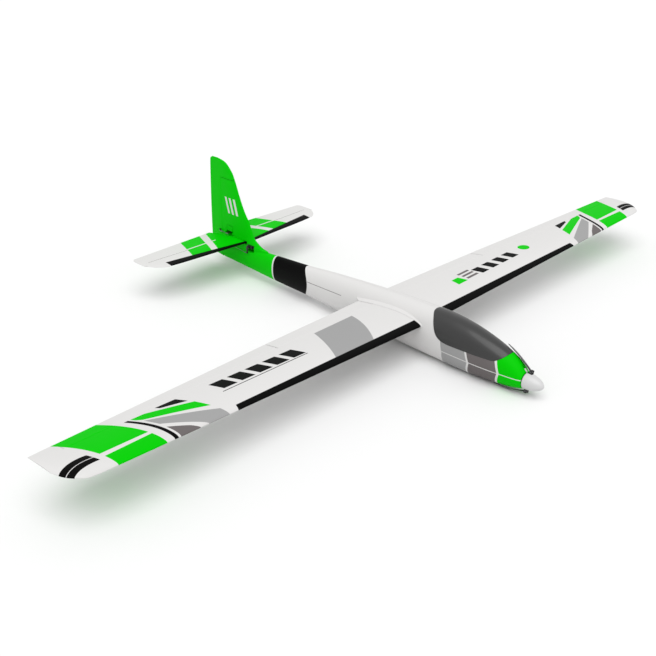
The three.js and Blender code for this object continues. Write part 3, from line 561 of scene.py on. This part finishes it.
# The section's thickness, its camber and the place of most camber, as shares of the chord
WING_THICKNESS = 0.094
WING_CAMBER = 0.022
CAMBER_AT = 0.4
FLAP_X = (51, 414)
AILERON_X = (416, 1034)
# x, leading edge y, trailing edge y
WING_PLAN = [
    (0, 0, 222), (48, 0, 219.5), (415, -1.5, 195), (742, -3, 169), (1026, -4, 147.5),
    (1048, -2, 146), (1062, 6, 145), (1074, 18, 144), (1085, 33, 143), (1092, 50, 142.5),
    (1096, 62, 142),
]
# x, hinge line y
WING_HINGE = [(0, 170), (415, 150), (1040, 113)]
# x, share of the thickness, lean of the section towards the tip
TIP_SHARE = [(1048, 1, 0), (1062, 0.98, 0.4), (1074, 0.92, 1.2), (1085, 0.76, 2.6),
             (1092, 0.56, 3.6), (1096, 0.3, 4)]
FOIL_STEPS = [(1 - math.cos(math.pi * i / 26)) / 2 for i in range(27)]


def foil(u, chord):
    """Upper and lower height of the wing section at a share u of its chord."""
    half = 5 * WING_THICKNESS * chord * (
        0.2969 * math.sqrt(u) - 0.126 * u - 0.3516 * u**2 + 0.2843 * u**3 - 0.1036 * u**4
    )
    rise = 2 * CAMBER_AT * u - u * u
    if u < CAMBER_AT:
        camber = WING_CAMBER / CAMBER_AT**2 * rise * chord
    else:
        camber = WING_CAMBER / (1 - CAMBER_AT) ** 2 * (1 - 2 * CAMBER_AT + rise) * chord
    return camber + half + TRAILING_EDGE * u, camber - half - TRAILING_EDGE * u


def foil_ring(x, sign, lead, trail, thin=1.0, lean=0.0):
    """The wing section at x, thinned by thin and leaning towards the tip by lean."""
    chord = trail - lead
    upper, lower = [], []
    for u in FOIL_STEPS:
        top, low = foil(u, chord)
        middle = (top + low) / 2
        for heights, h in ((upper, top), (lower, low)):
            z = x * DIHEDRAL + middle + (h - middle) * thin
            heights.append((sign * (x + lean * u), lead + u * chord, z))
    return upper[::-1] + lower[1:]


def wing_skins(x, y):
    """Heights of the wing's upper and lower skin at a place in plan."""
    lead, trail = straight(WING_PLAN, x, 1), straight(WING_PLAN, x, 2)
    top, low = foil((y - lead) / (trail - lead), trail - lead)
    return top + x * DIHEDRAL, low + x * DIHEDRAL


def wing_hinge(x, sign):
    """The hinge line's point at x, and half the wing's thickness there."""
    y = straight(WING_HINGE, x)
    top, low = wing_skins(x, y)
    return np.array([sign * x, y, (top + low) / 2]), (top - low) / 2


def hinged_ring(point, radius, edge, along_hinge, steps=18):
    """Round nose on the hinge axis, then straight skins to the trailing edge."""
    back = edge - point
    length = np.linalg.norm(back)
    back = back / length
    up = np.cross(back, along_hinge)
    up /= np.linalg.norm(up)
    ring = []
    for side in (1, -1):
        skin = []
        for share in (1.0, 0.75, 0.5, 0.25):
            half = radius + (TRAILING_EDGE - radius) * share
            skin.append(point + back * length * share + up * half * side)
        ring.append(skin)
    nose = []
    for i in range(steps + 1):
        t = math.pi * i / steps
        nose.append(point + up * radius * math.cos(t) - back * radius * math.sin(t))
    return ring[0] + nose + ring[1][::-1]


def wing_surface(name, inner, outer, sign):
    rings = []
    for x in stations(inner, outer, 26.0):
        point, radius = wing_hinge(x, sign)
        y = straight(WING_PLAN, x, 2)
        top, low = wing_skins(x, y)
        edge = np.array([sign * x, y, (top + low) / 2])
        rings.append(hinged_ring(point, radius, edge, (sign, 0, 0)))
    return loft(name, rings)


def surface_room(inner, outer, sign):
    """The space behind the hinge line and the round cove ahead of it."""
    (a, a_r), (b, b_r) = wing_hinge(inner - 1, sign), wing_hinge(outer + 1, sign)
    outline = [(a[0], a[1]), (b[0], b[1]), (b[0], 260), (a[0], 260)]
    behind = prism(outline, (0, 0, 0), np.eye(3), -100, 100)
    return [behind, tube(a, b, a_r + HINGE_GAP, b_r + HINGE_GAP, 64)]


JOINTS = {joint["name"]: joint for joint in frame["joints"]}


def points_of(node):
    """A CAD node's corners in the airframe's millimetres."""
    flat = np.zeros(len(frame["nodes"][node].data.vertices) * 3, np.float32)
    frame["nodes"][node].data.vertices.foreach_get("co", flat)
    return flat.reshape(-1, 3) / MM - SHIFT


POCKET = {"gap": 0.5, "run_out": 12}
SLIT = {"gap": 1.0, "past_hole": 3.4, "behind_shaft": 5.5}


def linkage_rooms(name):
    """Pockets for a surface's servo, arm and pushrod, worked out from its joints and CAD nodes."""
    shaft = np.array(JOINTS[f"{name}_arm_turn"]["pos_m"]) / MM - SHIFT
    hole = np.array(JOINTS[f"{name}_rod_turn"]["pos_m"]) / MM - SHIFT
    across = np.array(JOINTS[f"{name}_arm_turn"]["axis"], float)
    across /= np.linalg.norm(across)
    length = np.linalg.norm(hole - shaft)
    arm = (hole - shaft) / length
    along = np.cross(arm, across)
    axes = np.array([along, arm, across])

    def extent(nodes):
        local = np.vstack([(points_of(node) - shaft) @ axes.T for node in nodes])
        return local.min(0), local.max(0)

    low, high = extent([f"{name}_servo"])
    deep = high[1] + POCKET["run_out"]
    low, high = low - POCKET["gap"], high + POCKET["gap"]
    pocket = [(low[0], low[1]), (high[0], low[1]), (high[0], deep), (low[0], deep)]
    slim_low, slim_high = extent([f"{name}_servo_arm", f"{name}_pushrod"])
    reach, behind = length + SLIT["past_hole"], -SLIT["behind_shaft"]
    slit = [(-reach, behind), (reach, behind), (reach, deep), (-reach, deep)]
    return [
        prism(pocket, shaft, axes, low[2], high[2]),
        prism(slit, shaft, axes, slim_low[2] - SLIT["gap"], slim_high[2] + SLIT["gap"]),
    ]


JOINER_Y, PIN_Y = 72.0, 152.0
JOINER_BORE = {"x": (-4, 208), "radius": 5.6}
PIN_BORE = {"x": (-72, 72), "radius": 3.0}
joiner_z = sum(wing_skins(0, JOINER_Y)) / 2
pin_z = sum(wing_skins(WING_ROOT_X, PIN_Y)) / 2


def joiner_bores():
    """Bores for the bent joiner tube and the rear pin."""
    bores = []
    for sign in SIDES.values():
        ends = [(x * sign, JOINER_Y, joiner_z + x * DIHEDRAL) for x in JOINER_BORE["x"]]
        bores.append(tube(*ends, JOINER_BORE["radius"]))
    ends = [(x, PIN_Y, pin_z) for x in PIN_BORE["x"]]
    return bores + [tube(*ends, PIN_BORE["radius"])]


for side, sign in SIDES.items():
    plan = stations(WING_ROOT_X + 0.3, 1048, 24.0) + stations(1050, 1096, 3.0)
    rings = []
    for x in plan:
        lead, trail = smooth(WING_PLAN, x, 1), smooth(WING_PLAN, x, 2)
        thin, lean = smooth(TIP_SHARE, x, 1), smooth(TIP_SHARE, x, 2)
        rings.append(foil_ring(x, sign, lead, trail, thin, lean))
    panel = loft(f"wing_panel_{side}", rings)
    rooms = surface_room(*FLAP_X, sign) + surface_room(*AILERON_X, sign)
    rooms += linkage_rooms(f"flap_{side}") + linkage_rooms(f"aileron_{side}") + joiner_bores()
    carve(panel, rooms)
    settle(panel, "airframe", [f"wing_{side}"], wing_look)
    for name, (inner, outer) in (("flap", FLAP_X), ("aileron", AILERON_X)):
        surface = wing_surface(f"{name}_skin_{side}", inner, outer, sign)
        settle(surface, f"{name}_{side}", [f"{name}_{side}"], wing_look)


# ---------- tail ----------
# z, leading edge y
FIN_LEAD = [
    (-20, 640), (6, 640), (10, 662), (17, 678), (32, 700), (56, 713), (82, 726), (107, 743),
    (150, 764), (190, 780), (216, 792), (232, 805), (247, 823), (252, 838), (255, 858),
]
# z, trailing edge y
FIN_TRAIL = [
    (-62, 886), (-54, 894), (-40, 900), (-20, 904), (0, 905), (240, 898), (249, 896), (255, 887),
]
# z, half thickness at the thickest place, half thickness at the hinge
FIN_THICK = [
    (-62, 7, 6.5), (-54, 10, 9), (-30, 11, 10), (6, 10.5, 8.8), (17, 9.8, 8), (32, 8.8, 7),
    (56, 7.8, 6), (107, 6.8, 5), (197, 5.2, 4), (247, 3.6, 2.8), (255, 1.6, 1.2),
]
RUDDER_HINGE_Y = 850
FIN_TOP_Z = 197.5
ELEVATOR_HINGE_Y = 800
# Where a tail section is thickest, as a share of its chord
THICKEST_AT = 0.35
PLATE_STEPS = [THICKEST_AT * (1 - math.cos(math.pi / 2 * i / 9)) for i in range(10)]
PLATE_STEPS += [THICKEST_AT + (1 - THICKEST_AT) * i / 12 for i in range(1, 13)]


def tail_half(u, thick, hinged, hinge_at):
    """Half thickness of a tail section at a share u of its chord."""
    if u < THICKEST_AT:
        return thick * math.sqrt(max(0.0, 1 - (1 - u / THICKEST_AT) ** 2))
    if u < hinge_at:
        t = (u - THICKEST_AT) / (hinge_at - THICKEST_AT)
        return thick + (hinged - thick) * t * t * (3 - 2 * t)
    return hinged + (TRAILING_EDGE - hinged) * (u - hinge_at) / (1 - hinge_at)


def tail_ring(lead, trail, hinge_y, thick, hinged, place):
    """A tail section; place turns a y and a height off the middle into a point."""
    hinge_at = (hinge_y - lead) / (trail - lead)
    upper, lower = [], []
    for u in PLATE_STEPS:
        h = tail_half(u, thick, hinged, hinge_at)
        upper.append(place(lead + (trail - lead) * u, h))
        lower.append(place(lead + (trail - lead) * u, -h))
    return upper[::-1] + lower[1:]


def fin_ring(z):
    thick, hinged = smooth(FIN_THICK, z, 1), smooth(FIN_THICK, z, 2)
    lead, trail = smooth(FIN_LEAD, z), smooth(FIN_TRAIL, z)
    hinge_y = max(RUDDER_HINGE_Y, (lead + trail) / 2)
    return tail_ring(lead, trail, hinge_y, thick, hinged, lambda y, h: (h, y, z))


def fin(name):
    heights = stations(-20, 60, 3.0) + stations(64, FIN_TOP_Z, 6.0)
    return loft(name, [fin_ring(z) for z in heights])


rudder_rings = []
for z in stations(-62, 205, 5.0, [-54, -30, 6]):
    edge = np.array([0, smooth(FIN_TRAIL, z), z])
    point = np.array([0, RUDDER_HINGE_Y, z], float)
    rudder_rings.append(hinged_ring(point, smooth(FIN_THICK, z, 2), edge, (0, 0, 1)))
rudder = loft("rudder_skin", rudder_rings)
balance_heights = stations(199, 244, 3.0) + [246, 248, 250, 251.5, 253, 254, 254.7, 255]
carve(rudder, [loft("tool", [fin_ring(z) for z in balance_heights])], "UNION")
settle(rudder, "rudder", ["rudder"], green_look)

# x, leading edge y, trailing edge y, half thickness, half thickness at the hinge
STAB_PLAN = [
    (0, 729, 879, 4.3, 3.6), (113, 737, 875, 4, 3.4), (293, 752, 867, 3.3, 2.9),
    (316, 768, 866, 3, 2.7), (328, 783, 865.5, 2.5, 2.4), (333, 791, 865, 1.8, 1.8),
]


def stab_ring(x):
    lead, trail, thick, hinged = (smooth(STAB_PLAN, abs(x), c) for c in (1, 2, 3, 4))
    return tail_ring(
        lead, trail, ELEVATOR_HINGE_Y, thick, hinged, lambda y, h: (x, y, TAIL_Z + h)
    )


half_span = stations(0, 290, 12.0) + [296, 302, 308, 313, 318, 322, 326, 329, 331.5, 333]
across = [-x for x in half_span[:0:-1]] + half_span
stabilizer = loft("stabilizer_skin", [stab_ring(x) for x in across])
cove_radii = (3.6 + HINGE_GAP, 1.8 + HINGE_GAP)
coves = [
    tube((0, ELEVATOR_HINGE_Y, TAIL_Z), (sign * 350, ELEVATOR_HINGE_Y, TAIL_Z), *cove_radii)
    for sign in SIDES.values()
]
carve(stabilizer, [box((-400, ELEVATOR_HINGE_Y, -20), (400, 960, 50)), *coves])
settle(stabilizer, "airframe", ["stabilizer"], tail_look)

# x, trailing edge y, share of the thickness
ELEVATOR_EDGE = [(17, 846, 1), (36, 878, 1), (333, 865, 1), (337, 860, 0.8), (340, 850, 0.3)]


def elevator_half(sign):
    rings = []
    for x in stations(17, 36, 4.0) + stations(46, 333, 14.0) + [335, 337, 338.6, 340]:
        share = straight(ELEVATOR_EDGE, x, 2)
        point = np.array([sign * x, ELEVATOR_HINGE_Y, TAIL_Z], float)
        edge = np.array([sign * x, straight(ELEVATOR_EDGE, x), TAIL_Z])
        radius = straight(STAB_PLAN, x, 4) * share
        rings.append(hinged_ring(point, radius, edge, (sign, 0, 0)))
    return loft("elevator_half", rings)


elevator = elevator_half(1)
elevator.name = "elevator_skin"
BRIDGE_BACK_Y = 808
BRIDGE_HALF = 2.4
BRIDGE_REACH = 19
bridge_nose = [
    (ELEVATOR_HINGE_Y + BRIDGE_HALF * math.sin(t), TAIL_Z + BRIDGE_HALF * math.cos(t))
    for t in [-math.pi * i / 12 for i in range(13)]
]
bridge_back = [(BRIDGE_BACK_Y, TAIL_Z - BRIDGE_HALF), (BRIDGE_BACK_Y, TAIL_Z + BRIDGE_HALF)]
bridge = prism(bridge_nose + bridge_back, (0, 0, 0), SIDE_VIEW, -BRIDGE_REACH, BRIDGE_REACH)
carve(elevator, [elevator_half(-1), bridge], "UNION")
settle(elevator, "elevator", ["elevator"], tail_look)


# ---------- fuselage and canopy ----------
HULL_FRONT_Y = -298
HULL_POWER = 2 / 2.15
HULL_SKIN = 7.0
CAVITY_BACK_Y = 600
# y, centre z, half height, half width
HULL = [
    (-298, -57, 21.5, 21.5), (-291, -54.2, 26.2, 24.5), (-275, -49.5, 35.5, 28.5),
    (-255, -45, 43, 32), (-211, -38.5, 53.5, 40), (-170, -33.8, 60.2, 44.5),
    (-125, -30, 66.3, 47), (-75, -26.6, 68.9, 49), (-32, -24.6, 69, 49.5), (30, -24.5, 68, 49),
    (108, -25, 66, 46.5), (180, -25.5, 63, 43), (260, -26.3, 58.5, 38.5), (349, -27, 53, 33),
    (468, -30.6, 45.5, 26), (575, -33, 41.5, 21), (650, -34.5, 38, 17.5), (720, -34.5, 35, 15),
    (776, -34, 33, 13), (850, -33, 32, 10.5),
]


def hull(name, front, back, inset=0.0, count=96, step=9.0):
    """The fuselage's outer form between two places along it, smaller by inset."""
    rings = []
    for y in stations(front, back, step, [-295, -287, -283]):
        centre, high, wide = (smooth(HULL, y, c) for c in (1, 2, 3))
        ring = []
        for i in range(count):
            t = 2 * math.pi * i / count
            s, c = math.sin(t), math.cos(t)
            x = (wide - inset) * math.copysign(abs(s) ** HULL_POWER, s)
            z = centre + (high - inset) * math.copysign(abs(c) ** HULL_POWER, c)
            ring.append((x, y, z))
        rings.append(ring)
    return loft(name, rings)


# x, leading edge y, trailing edge y, share of the thickness
SEAT = [(0, -36, 272, 1.55), (30, -16, 248, 1.36), (40, -6.5, 234, 1.16), (47.8, -1, 221, 1.02)]


def wing_seat(sign):
    """One half of the wing root fairing that is moulded on the fuselage."""
    xs = stations(0, 47.8, 2.4)
    return loft("seat", [
        foil_ring(x, sign, smooth(SEAT, x, 1), smooth(SEAT, x, 2), smooth(SEAT, x, 3)) for x in xs
    ])


def rounded(corners, radius, steps=8):
    """An outline with each corner replaced by a curve that starts radius away from it."""
    outline = []
    for i, corner in enumerate(corners):
        here = np.array(corner, float)
        before = np.array(corners[i - 1], float)
        after = np.array(corners[(i + 1) % len(corners)], float)
        cut_a = min(radius, np.linalg.norm(before - here) * 0.45)
        cut_b = min(radius, np.linalg.norm(after - here) * 0.45)
        a = here + (before - here) / np.linalg.norm(before - here) * cut_a
        b = here + (after - here) / np.linalg.norm(after - here) * cut_b
        for k in range(steps + 1):
            s = k / steps
            outline.append(tuple(a * (1 - s) ** 2 + here * 2 * s * (1 - s) + b * s * s))
    return outline


CANOPY = [
    (-9, 90), (-11, 46), (-26, 33), (-37, 14), (-44, 1), (-52, -9), (-66, -17), (-88, -20),
    (-222, -20), (-236, -13), (-247, -4), (-257, 8), (-262, 22), (-262, 90),
]


CANOPY_SKIN = 5.0
CANOPY_TRIM = 0.1
CANOPY_HOLE_ROOM = 0.35
SILL_OPEN = 14.0
MAGNET_ROOM = {"radius": 2.1, "canopy": (-21, -16.7), "sill": (-23.3, -19)}


def canopy_prism(grow, drop=0.0):
    """The canopy's side outline, right across the fuselage.

    Each point moves by grow away from middle in y and in z, and the ones below z = 0 also go
    down by drop.
    """
    middle = np.array([-140, 30])
    outline = []
    for corner in rounded(CANOPY, 9.0):
        away = np.sign(np.array(corner) - middle)
        y, z = np.array(corner) + away * grow
        outline.append((y, z - drop if z < 0 else z))
    return prism(outline, (0, 0, 0), SIDE_VIEW, -70, 70)


def magnet_rooms(where):
    """Bores for the left and right magnet of the canopy or of the sill under it."""
    rooms = []
    for side in SIDES:
        x, y, _ = points_of(f"canopy_magnet_{side}").mean(0)
        ends = [(x, y, z) for z in MAGNET_ROOM[where]]
        rooms.append(tube(*ends, MAGNET_ROOM["radius"], sides=32))
    return rooms


canopy = hull("canopy_skin", -290, 20, step=6.0)
carve(canopy, [canopy_prism(-CANOPY_TRIM)], "INTERSECT")
inside_canopy = hull("tool", -290, 60, CANOPY_SKIN, step=6.0)
carve(inside_canopy, [canopy_prism(-CANOPY_SKIN, SILL_OPEN)], "INTERSECT")
carve(canopy, [inside_canopy, *magnet_rooms("canopy")])
settle(canopy, "canopy", ["canopy"], LOOKS["canopy_charcoal"])


def rudder_room():
    """The space the rudder needs behind its hinge, and the round cove ahead of it."""
    turns = [2 * math.pi * i / 48 for i in range(48)]
    rings = []
    for z in stations(-90, FIN_TOP_Z + 1, 12.0, [-54, -30]):
        radius = smooth(FIN_THICK, z, 2) + HINGE_GAP
        rings.append([
            (radius * math.cos(t), RUDDER_HINGE_Y + radius * math.sin(t), z) for t in turns
        ])
    return [box((-40, RUDDER_HINGE_Y, -90), (40, 960, FIN_TOP_Z + 1)), loft("tool", rings)]


INTAKE = [(1.5, -291), (7.5, -291), (7.5, -283), (1.5, -283)]
STABILIZER_ROOM = {"front": 728, "back": 792, "half": 4.9}
BRIDGE_ROOM = {"front": 790, "back": 814, "half": 7}


def fin_slot(room):
    """A slot right across the fin at the stabilizer's height."""
    low = (-40, room["front"], TAIL_Z - room["half"])
    return box(low, (40, room["back"], TAIL_Z + room["half"]))


shell = hull("fuselage_shell", HULL_FRONT_Y, RUDDER_HINGE_Y)
carve(shell, [wing_seat(1), wing_seat(-1), fin("tool")], "UNION")
cavity = hull("tool", HULL_FRONT_Y - 1, CAVITY_BACK_Y, HULL_SKIN, count=64, step=14.0)
carve(
    shell,
    [
        cavity,
        canopy_prism(CANOPY_HOLE_ROOM),
        box((-80, -320, -140), (80, 900, BELLY_Z)),
        fin_slot(STABILIZER_ROOM),
        fin_slot(BRIDGE_ROOM),
        *rudder_room(),
        *joiner_bores(),
        prism(rounded(INTAKE, 2.0, 4), (0, 0, 0), np.eye(3), -50, -10),
        *linkage_rooms("elevator"),
        *linkage_rooms("rudder"),
        *magnet_rooms("sill"),
    ],
)
for side, sign in SIDES.items():
    half = copy_of(shell, f"fuselage_shell_{side}")
    wall = sorted((sign * 0.15, sign * 90))
    carve(half, [box((wall[0], -330, -140), (wall[1], 960, 260))], "INTERSECT")
    settle(half, "airframe", [f"fuselage_{side}"], hull_look)
bpy.data.objects.remove(shell)

cover = fin("servo_cover_skin")
carve(cover, [box((-30, 795.5, 32.5), (-5.6, 823, 49))], "INTERSECT")
settle(cover, "airframe", ["rudder_servo_cover"], green_look)


# ---------- spinner and propeller ----------
PROP_TURN = math.radians(18)
NOSE_Y = -352
SPINNER_FRONT_Y = -300.9
SPINNER_R = 21.5
SPINNER_WALL = 1.6
BLADE_PIVOT_Y = -308.3
BLADE_PIVOT_R = 24.9
# How fast a blade bows inwards, per millimetre
BLADE_BOW = 0.0016
EYE = {"half": 2.9, "radius": 3.7, "bore": 1.7, "bore_half": 8}
SPINNER_SLOT = {"inner": 9, "outer": 32, "half": 6.6, "front": -314.5, "back": -299}
prop_out = np.array([math.sin(PROP_TURN), 0, math.cos(PROP_TURN)])
prop_side = np.array([math.cos(PROP_TURN), 0, -math.sin(PROP_TURN)])
aft = np.array([0.0, 1.0, 0.0])
on_axis = np.array([0, 0, THRUST_Z])


def prop_box(low, high):
    """A box with rounded edges, given outwards along the blades, across them and aft."""
    outline = [(low[0], low[1]), (high[0], low[1]), (high[0], high[1]), (low[0], high[1])]
    return prism(rounded(outline, 2.0, 5), on_axis, (prop_out, prop_side, aft), low[2], high[2])


def nose_curve(radius, tip_y, steps=28):
    """(radius, y) points of a blunt nose, from its base to its tip."""
    curve_points = []
    for i in range(steps + 1):
        t = math.pi / 2 * i / steps
        y = SPINNER_FRONT_Y + (tip_y - SPINNER_FRONT_Y) * math.sin(t) ** 0.92
        curve_points.append((max(radius * math.cos(t) ** 1.15, 0.02), y))
    return curve_points


spinner_inside = nose_curve(SPINNER_R - SPINNER_WALL, NOSE_Y + 3)
cone = lathe("spinner_shell", nose_curve(SPINNER_R, NOSE_Y) + spinner_inside[::-1])
inner, outer = SPINNER_SLOT["inner"], SPINNER_SLOT["outer"]
slots = [
    prop_box(
        (a, -SPINNER_SLOT["half"], SPINNER_SLOT["front"]),
        (b, SPINNER_SLOT["half"], SPINNER_SLOT["back"]),
    )
    for a, b in ((inner, outer), (-outer, -inner))
]
carve(cone, slots)
settle(cone, "spinner", ["spinner_cone"], LOOKS["spinner_white"])

# distance along the blade, half chord, half thickness, twist in degrees
BLADE = [
    (0, 2.9, 2.6, 0), (7, 3.1, 2.4, 3), (14, 4.8, 2.1, 10), (24, 7.2, 1.7, 14), (38, 8.8, 1.35, 13),
    (56, 8.4, 1.05, 11), (73, 6.6, 0.8, 9), (86, 4.6, 0.6, 8), (90.5, 3.3, 0.5, 7),
    (93, 1.7, 0.35, 7),
]


def blade(name, out, fold, end):
    """A blade that stands open by fold from straight aft, with its eye at the pivot."""
    pivot = on_axis + np.array([0, BLADE_PIVOT_Y, 0]) + out * BLADE_PIVOT_R
    way = aft * math.cos(fold) + out * math.sin(fold)
    face = out * math.cos(fold) - aft * math.sin(fold)
    side = prop_side * end
    rings = []
    for reach in stations(0, 84, 3.0) + [86, 88, 89.5, 90.8, 91.8, 92.5, 93]:
        chord, thick, twist = (smooth(BLADE, reach, c) for c in (1, 2, 3))
        turn = -math.radians(twist)
        middle = pivot + way * reach - face * BLADE_BOW * reach**2
        ring = []
        for i in range(28):
            t = 2 * math.pi * i / 28
            c = chord * math.cos(t)
            h = thick * math.sin(t) * (1 - 0.25 * math.cos(t)) - 0.03 * thick * math.cos(2 * t)
            ring.append(
                middle
                + side * (c * math.cos(turn) - h * math.sin(turn))
                + face * (c * math.sin(turn) + h * math.cos(turn))
            )
        rings.append(ring)
    made = loft(name, rings)
    eye, bore = side * EYE["half"], side * EYE["bore_half"]
    carve(made, [tube(pivot - eye, pivot + eye, EYE["radius"])], "UNION")
    carve(made, [tube(pivot - bore, pivot + bore, EYE["bore"], sides=32)])
    return made


for where, out, fold, end in (("upper", prop_out, 37, 1), ("lower", -prop_out, 16, -1)):
    made = blade(f"blade_{where}_skin", out, math.radians(fold), end)
    settle(made, f"blade_{where}", [f"prop_blade_{where}"], LOOKS["blade"])


# ---------- materials and rounded edges of the pieces kept from the CAD part ----------
SLOTS = {part["node"]: part["material_slot"] for part in frame["record"]["subparts"]}
ROUNDING = {
    "battery_pack": 2.4, "receiver": 1.0, "esc": 1.6, "battery_tray": 0.3, "battery_strap": 0.35,
    "motor_can": 0.8, "prop_yoke": 0.7, "spinner_backplate": 0.3, "motor_mount": 0.3,
}
for name, node in frame["nodes"].items():
    if node.hide_render:
        continue
    node.data.materials.clear()
    node.data.materials.append(LOOKS[SLOTS[name]])
    node.data.shade_smooth()
    node.data.set_sharp_from_angle(angle=SHARP_ANGLE)
    soften(node, ROUNDING.get(name, 0.35 if name.endswith("_servo") else 0.2))


# ---------- floor, light and camera ----------
# In metres and degrees, and the lens in millimetres. The floor lies just under the belly.
FLOOR_HALF = 60.0
FLOOR_Z = -0.0006
FLOOR_COLOUR = (0.8, 0.8, 0.8, 1)
WORLD_STRENGTH = 0.78
KEY = {"place": (-0.3, -0.3, 1.0), "angle": 60, "strength": 1.7}
LENS = 54.24
CAMERA_AT = (-1.8464, -1.7144, 1.2544)
CAMERA_AIM = (0.6344, 0.6266, -0.4528)
CAMERA_ROLL = 0.139


def lay_floor():
    corners = [
        (-FLOOR_HALF, -FLOOR_HALF), (FLOOR_HALF, -FLOOR_HALF), (FLOOR_HALF, FLOOR_HALF),
        (-FLOOR_HALF, FLOOR_HALF),
    ]
    mesh = bpy.data.meshes.new("floor")
    mesh.from_pydata([(x, y, FLOOR_Z) for x, y in corners], [], [(0, 1, 2, 3)])
    made = bpy.data.objects.new("floor", mesh)
    bpy.context.scene.collection.objects.link(made)
    material, _, surface = shader("floor_paint", 0.9)
    surface.inputs["Base Color"].default_value = FLOOR_COLOUR
    mesh.materials.append(material)


lay_floor()

world = bpy.data.worlds.new("studio")
world.use_nodes = True
world.node_tree.nodes["Background"].inputs["Color"].default_value = (1, 1, 1, 1)
world.node_tree.nodes["Background"].inputs["Strength"].default_value = WORLD_STRENGTH
bpy.context.scene.world = world


def sun(name, place, angle, strength):
    """A soft far light that shines from place towards the object."""
    data = bpy.data.lights.new(name, "SUN")
    data.angle = math.radians(angle)
    data.energy = strength
    made = bpy.data.objects.new(name, data)
    made.rotation_euler = (-Vector(place)).to_track_quat("-Z", "Y").to_euler()
    bpy.context.scene.collection.objects.link(made)


sun("key", **KEY)

camera_data = bpy.data.cameras.new("camera")
camera_data.lens = LENS
camera_data.sensor_width = 36
camera_data.clip_start = 0.05
camera_data.clip_end = 100
camera = bpy.data.objects.new("camera", camera_data)
camera.location = CAMERA_AT
aim = Vector(CAMERA_AIM).to_track_quat("-Z", "Y")
roll = Quaternion((0, 0, 1), math.radians(CAMERA_ROLL))
camera.rotation_euler = (aim @ roll).to_euler()
bpy.context.scene.collection.objects.link(camera)
bpy.context.scene.camera = camera
bpy.context.scene.view_settings.view_transform = "Standard"
